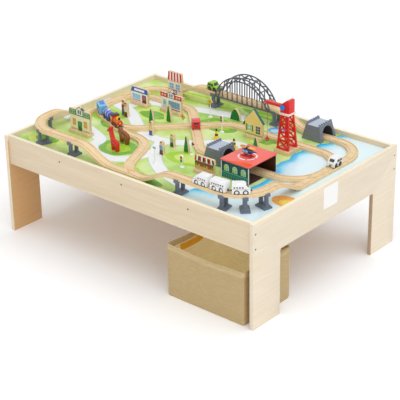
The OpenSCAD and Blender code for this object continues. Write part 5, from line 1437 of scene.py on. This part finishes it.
def makeGarden():
    trees = startPiece()
    thick, w = take(garden, "firThick firWidth")
    for x, y, h in garden["firs"]:
        outline = spread(garden["firLine"], w, h)
        marks = [((0, 122, 52), [(u * 0.9, 1.2 + v * 0.965) for u, v in outline])]
        for row in range(3):  # lighter boughs in three tiers
            v, reach = h * (0.2 + 0.24 * row), w * (0.36 - 0.085 * row)
            bough = [(-reach, v), (0, v + h * 0.07), (reach, v), (reach * 0.55, v + h * 0.02),
                     (0, v + h * 0.035), (-reach * 0.55, v + h * 0.02)]
            marks.append(((46, 158, 84), bough))
        marks.append(((120, 82, 46), rect(-2.4, 1.4, 2.4, h * 0.1)))
        standee(trees, blockWood, outline, thick, at(x, y, ground), marks, 0.6)
    for x, y, r in garden["bushes"]:
        outline = rounded(spread(garden["bushLine"], 2 * r, 2 * r), steps=2)
        marks = [((0, 118, 50), [(u * 0.94, r + (v - r) * 0.94) for u, v in outline])]
        for a in (0.4, 1.7, 2.8, 4.2, 5.3):  # tufts
            tuft = disc(r * 0.45 * math.cos(a), r * 0.86 + r * 0.45 * math.sin(a), r * 0.2, 14)
            marks.append(((10, 134, 62), tuft))
        standee(trees, blockWood, outline, thick, at(x, y, ground), marks, 0.5)
    finishPiece(trees, "woodenTrees", "table", ["trees"])
    people = startPiece()
    skin, ink, lip, ivory = (240, 202, 166), (52, 38, 32), (190, 96, 84), (250, 246, 238)
    for (x, y, h), (trousers, top, hair) in zip(garden["people"], garden["clothes"]):
        line = spread(garden["personLine"], garden["personWidth"], h)
        outline = [(u, max(0.0, v)) for u, v in rounded(line, steps=3)]
        head = h * 0.865
        marks = [(trousers, [(-8.6, 1), (8.6, 1), (7.4, h * 0.36), (-7.4, h * 0.36)]),
                 (top, [(-7.4, h * 0.36), (7.4, h * 0.36), (8.4, h * 0.6), (6, h * 0.7), (-6, h * 0.7),
                        (-8.4, h * 0.6)]),
                 (skin, disc(0, head, 6.3, 24)), (hair, arc(0, head, 6.6, 15, 165, 12)),
                 (ink, rect(-0.4, 1, 0.4, h * 0.3)), (ink, disc(-2.3, head - 0.4, 0.75, 10)),
                 (ink, disc(2.3, head - 0.4, 0.75, 10)),
                 (lip, arc(0, head - 2.2, 2.2, 200, 340, 8) + arc(0, head - 2.0, 1.5, 340, 200, 8)),
                 (ivory, disc(0, h * 0.55, 0.8, 10)), (ivory, disc(0, h * 0.46, 0.8, 10))]
        standee(people, blockWood, outline, garden["personThick"], at(x, y, ground), marks, 0.5)
    finishPiece(people, "woodenPeople", "table", ["figures"])
    herd = startPiece()
    for beast in animals["herd"]:
        x, y, w, h, base, patch, (eyeU, eyeV) = take(beast, "x y w h base patch eye")
        u, v = (eyeU - 0.5) * w, eyeV * h
        marks = [(patch, disc((su - 0.5) * w, sv * h, r, 14)) for su, sv, r in beast["spots"]]
        marks += [(ivory, disc(u, v, 1.7, 12)), (ink, disc(u - 0.3, v, 0.95, 10))]
        standee(herd, base, spread(beast["line"], w, h), animals["thick"], at(x, y, ground, animals["turn"]),
                marks, 1.6, 3)
    finishPiece(herd, "woodenAnimals", "table", ["animals"])


makeGarden()
print("trees, people and animals painted")

roadside = {"base": 9.0, "baseThick": 3.0, "pole": 1.8, "diamonds": [(-138, 233, 78), (-175, 115, 44)],
            "side": 19.0, "boardThick": 4.2, "signals": [(-7, 146, 68), (87, -190, 46)], "signalTall": 26.0,
            "signalDeep": 8.0, "post": (-13, -225, 68), "postThick": 3.2, "flag": (43, -84.5, 52),
            "flagSide": 15.0, "cones": [(20, 82, 42), (119, 65, 34)], "coneFoot": 3.0}


def makeRoadside():
    signs = startPiece()
    white, dark, yellow = (244, 242, 236), (40, 40, 44), (250, 206, 36)
    base, foot, stem, tall, deep = take(roadside, "base baseThick pole signalTall signalDeep")

    def pole(x, y, h):
        profile = [(0, 0), (base, 0), (base, foot - 0.8), (base - 0.8, foot), (stem + 0.6, foot),
                   (stem, foot + 1), (stem, h - 0.6), (stem - 0.6, h), (0, h)]
        addShape(signs, white, lathe(profile, 24), at(x, y, ground))

    def diamond(reach):
        return [(0, -reach), (reach, 0), (0, reach), (-reach, 0)]

    for x, y, h in roadside["diamonds"]:
        pole(x, y, h)
        reach = roadside["side"] / math.sqrt(2)
        arrow = [(-1.2, -5.5), (1.2, -5.5), (1.2, 0.5), (4, 0.5), (0, 5.4), (-4, 0.5), (-1.2, 0.5)]
        marks = [(dark, diamond(reach - 1.2)), (yellow, diamond(reach - 2.6)), (dark, arrow)]
        place = at(x, y, ground + h - reach)
        standee(signs, blockWood, diamond(reach), roadside["boardThick"], place, marks, 0.5)
    lens = lathe([(0, 3.8), (3, 3.8), (3, 4.7), (2.2, 5.2), (1.1, 5.5), (0, 5.6)], 18)
    for x, y, h in roadside["signals"]:
        pole(x, y, h - tall - 1)
        place = at(x, y, ground + h - tall)
        addShape(signs, white, box(11, deep, tall), place, 1.0)
        paintFaces(signs, place, deep, [(dark, archTop(-4.4, 1.2, 4.4, 25))])
        for share, glow in ((0.18, (60, 170, 84)), (0.5, (246, 190, 50)), (0.82, (214, 44, 40))):
            for side in (90, -90):
                addShape(signs, glow, lens, place @ at(0, 0, tall * share, roll=side))
    x, y, h = roadside["post"]
    pole(x, y, h)
    arrow = [(-3.6, 3.4), (1, 3.4), (1, 2), (4.4, 4.5), (1, 7), (1, 5.6), (-3.6, 5.6)]
    low, thick = ground + h - 11, roadside["postThick"]
    addShape(signs, white, box(15, thick, 9, x, y, low), bevel=0.8)
    paintFaces(signs, at(x, y, low), thick, [((60, 120, 196), rect(-6.3, 1.2, 6.3, 7.8)), (white, arrow)])
    x, y, h = roadside["flag"]
    pole(x, y, h)
    side = roadside["flagSide"]
    flag = upright([(0, 0), (side * 0.87, side / 2), (0, side)], 3.0)
    addShape(signs, (140, 26, 34), flag, at(x + 0.8, y, ground + h - side - 1), 0.6)
    finishPiece(signs, "roadSigns", "table", ["road_signs"])
    cones, plate = startPiece(), roadside["coneFoot"]
    for x, y, h in roadside["cones"]:
        place = at(x, y, ground)
        addShape(cones, yellow, box(22, 22, plate), place, 0.9)
        heights = (plate, 0.36 * h, 0.56 * h, 0.8 * h, h)
        for low, high, colour in zip(heights, heights[1:], (yellow, dark, yellow, dark)):
            wide, narrow = (8 - 5 * (v - plate) / (h - plate) for v in (low, high))
            end = [(narrow, high), (0, high)]
            if high == h:  # the tip's edge is broken
                end = [(narrow, high - 1), (narrow - 0.8, high), (0, high)]
            addShape(cones, colour, lathe([(0, low - 0.4), (wide, low - 0.001)] + end, 28), place)
    finishPiece(cones, "trafficCones", "table", ["traffic_cones"])


makeRoadside()
print("signs and cones painted")

rolling = {"half": 31.0, "width": 32.0, "floor": 2.5, "tall": 35.5, "arch": 10.0, "axle": 15.0, "axleZ": 6.3,
           "wheel": 9.0, "tread": 3.2, "gauge": 26.0, "chassis": 21.6, "couplerZ": 9.0, "roofCorner": 6.5}
single = {**rolling, "half": 25.0, "tall": 31.5, "axle": 12.0}  # the loose cars are shorter and lower
stock = {  # middle x, y, heading in degrees, track height, body
    "express_nose": (475.17, -329.83, 39.15, 446, "table"),
    "express_coach": (404.95, -356.67, 3.18, 446, "table"),
    "express_tail": (328.0, -357.5, 0.0, 446, "table"),
    "cargo_engine": (-348.59, -71.97, -22.5, 392, "table"),
    "cargo_wagon": (-419.73, -42.5, -22.5, 392, "table"),
    "cargo_cab": (-488.96, -9.56, -35.39, 392, "table"),
    "white_car": (520.0, 142.5, 90.0, 392, "white_car"),
    "lime_car": (-205.0, 337.5, 0.0, 446, "lime_car"),
    "red_car": (-97.54, 100.37, 135.0, 392, "red_car"),
}
sideLines = {
    "nose": [(0, 0), (1, 0), (1, 0.3), (0.985, 0.4), (0.93, 0.52), (0.83, 0.72), (0.73, 0.91), (0.67, 0.975),
             (0.6, 1), (0, 1)],
    "coach": [(0, 0), (1, 0), (1, 1), (0, 1)],
    "car": [(0, 0), (1, 0), (1, 0.36), (0.985, 0.43), (0.94, 0.49), (0.74, 0.55), (0.6, 0.93), (0.55, 0.985),
            (0.5, 1), (0.19, 1), (0.13, 0.97), (0.09, 0.92), (0.01, 0.64), (0, 0.58)],
    "van": [(0, 0), (1, 0), (1, 0.46), (0.97, 0.52), (0.85, 0.6), (0.75, 0.93), (0.71, 0.985), (0.67, 1),
            (0.09, 1), (0.04, 0.97), (0, 0.9)],
}


def bodyLine(kind, mirrored=False, form=rolling):  # side outline with the wheel arches cut from its foot
    half, floor, tall, axle, axleZ, arch = take(form, "half floor tall axle axleZ arch")
    first, *others = [(-half + 2 * half * u, floor + tall * v) for u, v in sideLines[kind]]
    reach = math.degrees(math.asin((floor - axleZ) / arch))
    arches = [spot for x in (-axle, axle) for spot in arc(x, axleZ, arch, 180 - reach, reach, 14)]
    line = [first] + arches + others
    return [(-x, z) for x, z in line][::-1] if mirrored else line


def onTrack(name):
    x, y, heading, top = stock[name][:4]
    return at(x, y, top, heading)


def camel(name):  # node_name to nodeName
    first, *others = name.split("_")
    return first + "".join(word.title() for word in others)


def lidBevel(corner, wide, low):  # a round upper edge along both sides, all other edges just broken
    def upperEdge(edge):
        return all(abs(v.co.y) > wide / 2 - 0.01 and v.co.z > low for v in edge.verts)

    return [(corner, 5, upperEdge), (0.7, 2, None)]


def addBody(piece, finish, kind, place, mirrored=False, form=rolling):
    wide, floor, tall, corner = take(form, "width floor tall roofCorner")
    addShape(piece, finish, upright(bodyLine(kind, mirrored, form), wide), place,
             lidBevel(corner, wide, floor + 0.3 * tall))


# underside and couplers, then the piece takes its node's place
def endCar(piece, name, place, form=rolling):
    half, floor, couplerZ = take(form, "half floor couplerZ")
    black, steel = (34, 34, 38), (120, 122, 128)
    addShape(piece, black, box(2 * half - 1, form["chassis"], 12, 0, 0, floor + 0.2), place, 0.6)
    stud = lathe([(0, -1), (2.4, -1), (2.4, 2.6), (3.5, 3.0), (3.5, 5.4), (3.0, 6), (0, 6)], 20)
    magnet = lathe([(0, 5.8), (2.5, 5.8), (2.5, 6.15), (0, 6.15)], 18)
    for end in (1, -1):  # round magnet couplers
        tip = place @ at(end * (half - 0.2), 0, couplerZ, tip=90 * end)
        addShape(piece, black, stud, tip)
        addShape(piece, steel, magnet, tip)
    finishPiece(piece, camel(name) + "Body", stock[name][-1], [name])


def slopePane(piece, finish, place, low, high, wide):  # on a sloping front, from low to high in x and z
    proud = 0.7
    run = Vector((high[0] - low[0], 0, high[1] - low[1]))
    along = run.normalized()
    out = Vector((abs(along.z) * math.copysign(1, low[0]), 0, abs(along.x)))
    tilt = Matrix((along, out.cross(along), out)).transposed().to_4x4()
    middle = Vector(((low[0] + high[0]) / 2, 0, (low[1] + high[1]) / 2))
    addShape(piece, finish, box(run.length, wide, 2 * proud, 0, 0, -proud),
             place @ Matrix.Translation(middle) @ tilt, 0.5)


def lampPair(piece, finish, place, x, z, apart=10.0):
    lens = lathe([(0, -1), (2.3, -1), (2.3, 0.5), (1.6, 1.0), (0, 1.3)], 18)
    for side in (-1, 1):
        addShape(piece, finish, lens, place @ at(x, side * apart, z, tip=90 * math.copysign(1, x)))


express = {"windowZ": 22.6, "windowStep": 9.2, "stripeZ": 18.4, "doorZ": 15.4, "coachDoors": (-8, 8),
           "noseDoors": (12,), "coachVents": (-14, 0, 14), "noseVents": (-20, -7), "lampZ": 10.5}


def makeExpress():
    white = paint("expressWhite", (244, 245, 247), 0.24, 0.02, coat=0.5)
    dark = paint("expressGlass", (34, 40, 52), 0.14, 0.05, coat=0.6)
    stripe, lamp = (150, 156, 166), (250, 226, 130)
    half, wide = take(rolling, "half width")
    roof = rolling["floor"] + rolling["tall"]
    for name, kind, flip in (("express_nose", "nose", 1), ("express_coach", "coach", 1),
                             ("express_tail", "nose", -1)):
        place = onTrack(name)
        piece = startPiece()
        addBody(piece, white, kind, place, flip < 0)
        if kind == "nose":
            slopePane(piece, dark, place, (flip * 25.2, 23.0), (flip * 17.4, 33.0), 20)
            lampPair(piece, lamp, place, flip * (half - 0.2), express["lampZ"])
        for i in range(4 if kind == "nose" else 6):  # a row of small windows
            x = flip * (-23 + express["windowStep"] * i)
            addShape(piece, dark, box(6.4, wide + 0.7, 5.4, x, 0, express["windowZ"]), place, 0.9)
        shift = 0 if kind == "coach" else flip * -1.5
        addShape(piece, stripe, box(2 * half - 5, wide + 0.6, 1.3, shift, 0, express["stripeZ"]), place)
        for x in express[kind + "Doors"]:
            for edge in (-3.4, 3.4):
                line = box(0.5, wide + 0.5, 14.0, flip * x + edge, 0, express["doorZ"])
                addShape(piece, stripe, line, place)
        for x in express[kind + "Vents"]:  # on the roof
            addShape(piece, white, box(8, 15, 1.0, flip * x, 0, roof - 0.35), place, 0.4)
        endCar(piece, name, place)


carGlass = {  # side panes, sloping panes as low and high end and width, lamp height, in the long cars' measures
    "nose": ([[(-25, 21), (-12, 21), (-12, 31), (-25, 31)], [(-9, 21), (8, 21), (8, 31), (-9, 31)]],
             [((25.2, 23.0), (17.4, 33.0), 20), ((-30.9, 22.5), (-30.9, 32.0), 20)], 10.5),
    "van": ([[(-27, 21), (-10, 21), (-10, 31), (-26, 31)], [(-8, 21), (6, 21), (6, 31), (-8, 31)],
             [(8, 21), (18.5, 21), (14.5, 31), (8, 31)]],
            [((21.2, 24.5), (15.9, 35.0), 22), ((-30.9, 22.5), (-30.9, 32.0), 20)], 14.5),
    "car": ([[(-25, 22.5), (-10.5, 22.5), (-10.5, 32), (-22.4, 32)],
             [(-8.5, 22.5), (11.5, 22.5), (6.4, 32), (-8.5, 32)]],
            [((13.9, 23.6), (7.1, 34.4), 23), ((-29.9, 26.4), (-26.4, 34.0), 22)], 14.5),
}


def makeCars():
    glass = paint("carGlass", (44, 52, 64), 0.14, 0.05, coat=0.6)
    lamp, tailLamp, trim = (250, 232, 160), (196, 30, 34), (60, 62, 68)
    wide, half, floor, tall = take(single, "width half floor tall")

    def fit(spots):  # from the long cars' measures to the short ones
        return [(x * half / rolling["half"], floor + (z - floor) * tall / rolling["tall"]) for x, z in spots]

    for name, kind, colour, slot in (("white_car", "nose", (244, 244, 244), "white_paint"),
                                     ("lime_car", "car", (148, 204, 40), "lime_paint"),
                                     ("red_car", "van", (224, 28, 38), "red_paint")):
        place = onTrack(name)
        if kind == "nose":  # looks to the front of the table
            place = place @ at(turn=180)
        piece = startPiece()
        addBody(piece, paint(name + "Coat", colour, 0.24, 0.03, coat=0.5), kind, place, False, single)
        panes, slopes, lampLine = carGlass[kind]
        for pane in panes:
            addShape(piece, glass, upright(fit(pane), wide + 0.7), place, 0.3)
        for low, high, across in slopes:
            slopePane(piece, glass, place, *fit([low, high]), across)
        lampZ = fit([(0, lampLine)])[0][1]
        lampPair(piece, lamp, place, half - 0.2, lampZ)
        lampPair(piece, tailLamp, place, 0.2 - half, lampZ)
        addShape(piece, trim, box(3.2, wide + 1.0, 1.0, -3.8, 0, 16.6), place, 0.2)  # door handles and sills
        addShape(piece, trim, box(3.2, wide + 0.5, 1.2, 0, 0, 5.0), place)
        endCar(piece, name, place, single)


cargo = {
    "deck": (60, 29, 3, 0, 0, 6), "cab": (22, 30, 26.5, -20, 0, 8.5), "cabRoof": (26, 33, 3, -20, 0, 35),
    "cabX": -20.0, "cabSide": 15.0, "windowZ": 20.0,
    "boilerX": -9.0, "boilerZ": 17.0, "bandX": -1.0,
    "boiler": [(0, -10), (11.6, -10), (12, -9.4), (12, 38.6), (11.2, 39.8), (9.6, 40.4), (9.2, 39.9),
               (0, 39.9)],
    "bands": (-4, 8, 20, 28), "faceX": 30.8, "face": [(0, 0), (4, 0), (4, 0.8), (3.2, 1.6), (0, 1.9)],
    "domeX": 12.4, "dome": [(0, 26), (8, 26), (8, 31), (7.2, 34.6), (5.2, 37.4), (2.6, 38.7), (0, 39)],
    "chimneyX": 24.5, "chimney": [(0, 26.5), (3.6, 26.5), (3.4, 34), (4.6, 37), (4.6, 38), (3.4, 38),
                                  (3.0, 36.5), (0, 36.5)],
    "tank": [(0, -29), (9, -28.6), (12.6, -27), (14.5, -24), (14.5, 24), (12.6, 27), (9, 28.6), (0, 29)],
    "tankZ": 20.0, "tankBands": (-21, -1.2, 18.6),
    "hatch": [(0, 33), (5.2, 33), (5.2, 36.4), (4.4, 37.6), (2, 38), (0, 38)],
    "archCut": 16.0, "sill": 17.1, "postX": 28.0, "lid": 29.6, "load": 17.0,
}


def addBands(piece, colour, starts, radius, wide, count, place):  # raised hoops round a lying barrel
    for x in starts:
        band = [(radius - 0.5, x), (radius + 0.5, x + 0.1), (radius + 0.5, x + wide - 0.1),
                (radius - 0.5, x + wide)]
        addShape(piece, colour, hoop(band, count), place)


def makeEngine():
    red = paint("cargoRed", (222, 62, 34), 0.28, 0.04, coat=0.4)
    glass = paint("cargoGlass", (170, 206, 222), 0.16, 0.05, coat=0.5)
    yellow, black = (248, 190, 40), (36, 36, 40)
    cabX, cabSide, windowZ, z = take(cargo, "cabX cabSide windowZ boilerZ")
    place, piece = onTrack("cargo_engine"), startPiece()
    addShape(piece, red, box(*cargo["cab"]), place, 1.2)
    addShape(piece, black, box(*cargo["cabRoof"]), place, 1.0)
    for side in (-1, 1):
        addShape(piece, yellow, box(13, 0.8, 12, cabX, side * cabSide, windowZ), place, 0.3)
        addShape(piece, glass, box(10.4, 1.2, 9.4, cabX, side * cabSide, windowZ + 1.3), place, 0.3)
    addShape(piece, red, lathe(cargo["boiler"], 40), place @ at(cargo["boilerX"], 0, z, tip=90))
    addBands(piece, yellow, cargo["bands"], 12, 1.6, 40, place @ at(cargo["bandX"], 0, z, tip=90))
    addShape(piece, yellow, lathe(cargo["dome"], 32), place @ at(cargo["domeX"]))
    addShape(piece, black, lathe(cargo["chimney"], 24), place @ at(cargo["chimneyX"]))
    addShape(piece, yellow, lathe(cargo["face"], 24), place @ at(cargo["faceX"], 0, z, tip=90))
    addShape(piece, red, box(*cargo["deck"]), place, 0.6)
    lampPair(piece, yellow, place, 30.6, 8.6, 9)
    endCar(piece, "cargo_engine", place)


def makeWagon():
    violet, pale = paint("wagonViolet", (74, 92, 204), 0.28, 0.04, coat=0.4), (226, 230, 244)
    place, piece = onTrack("cargo_wagon"), startPiece()
    lying = place @ at(0, 0, cargo["tankZ"], tip=90)
    addShape(piece, violet, lathe(cargo["tank"], 44), lying)
    addBands(piece, pale, cargo["tankBands"], 14.5, 2.4, 44, lying)
    addShape(piece, pale, lathe(cargo["hatch"], 24), place)
    addShape(piece, violet, box(*cargo["deck"]), place, 0.6)
    endCar(piece, "cargo_wagon", place)


def makeCab():
    sky = paint("cabSky", (110, 186, 236), 0.28, 0.04, coat=0.4)
    half, wide = take(rolling, "half width")
    cut, sill, postX, lid, load = take(cargo, "archCut sill postX lid load")
    place, piece = onTrack("cargo_cab"), startPiece()
    lower = [spot for spot in bodyLine("coach") if spot[1] < cut] + [(half, sill), (-half, sill)]
    addShape(piece, sky, upright(lower, wide), place, 0.7)
    for x in (-postX, postX):
        addShape(piece, sky, box(6, wide, 14, x, 0, 16.4), place, 0.5)
    addShape(piece, sky, box(2 * half, wide, 8.4, 0, 0, lid), place, lidBevel(5.5, wide, lid + 7.4))
    for colour, block, bevel in (((226, 230, 244), box(54, wide + 0.6, 1.6, 0, 0, 13.6), 0.0),
                                 ((70, 130, 196), box(40, 18, 0.6, 0, 0, 37.75), 0.25),
                                 ((250, 232, 160), box(9, 12, 9, -8, 0, load), 1.5),
                                 ((206, 60, 52), box(9, 12, 7, 8, 0, load), 1.5)):
        addShape(piece, colour, block, place, bevel)
    endCar(piece, "cargo_cab", place)


def makeWheels():
    tyre, steel = plastic("tyreBlack", (34, 34, 37), 0.4), metal("axleSteel", (150, 150, 154), 0.3, 0.06)
    whiteHub, darkHub = plastic("hubWhite", (240, 240, 238), 0.32), plastic("hubDark", (74, 76, 82), 0.36)
    r, half = rolling["wheel"], rolling["tread"] / 2
    rim = [(5.6, -half), (r - 0.6, -half), (r, 0.5 - half), (r, half - 0.5), (r - 0.6, half), (7.2, half),
           (6.8, half - 0.5), (5.6, half - 0.5)]
    boss = [(0, -half + 0.3), (5.9, -half + 0.3), (5.9, half - 0.9), (3.6, half - 0.9), (3.2, half),
            (3.2, half + 0.5),
            (2.6, half + 0.8), (0, half + 0.8)]
    for name in stock:
        hub = whiteHub if name.startswith("express") else darkHub
        base = (single if name.endswith("_car") else rolling)["axle"]
        for end, reach in (("front", base), ("rear", -base)):
            piece = startPiece()
            axle = onTrack(name) @ at(reach, 0, rolling["axleZ"])
            for side in (-1, 1):
                place = axle @ at(0, side * rolling["gauge"] / 2, 0, roll=-90 * side)
                addShape(piece, tyre, hoop(rim, 36), place)
                addShape(piece, hub, lathe(boss, 32), place)
                for turn in range(0, 360, 72):  # spokes between hub and tyre
                    addShape(piece, hub, box(3.4, 1.2, 0.9, 4.6, 0, half - 1.0), place @ at(turn=turn), 0.2)
            addShape(piece, steel, lathe([(0, -12), (1.5, -12), (1.5, 12), (0, 12)], 16), axle @ at(roll=90))
            label = name + "_" + end
            finishPiece(piece, camel(label) + "Wheels", label + "_axle", [label + "_wheels"])


makeExpress()
makeCars()
makeEngine()
makeWagon()
makeCab()
makeWheels()
print("trains and cars built")

for key, value in (("cad", cadBox), ("visual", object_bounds())):
    print(key, [[round(c, 4) for c in corner] for corner in value])
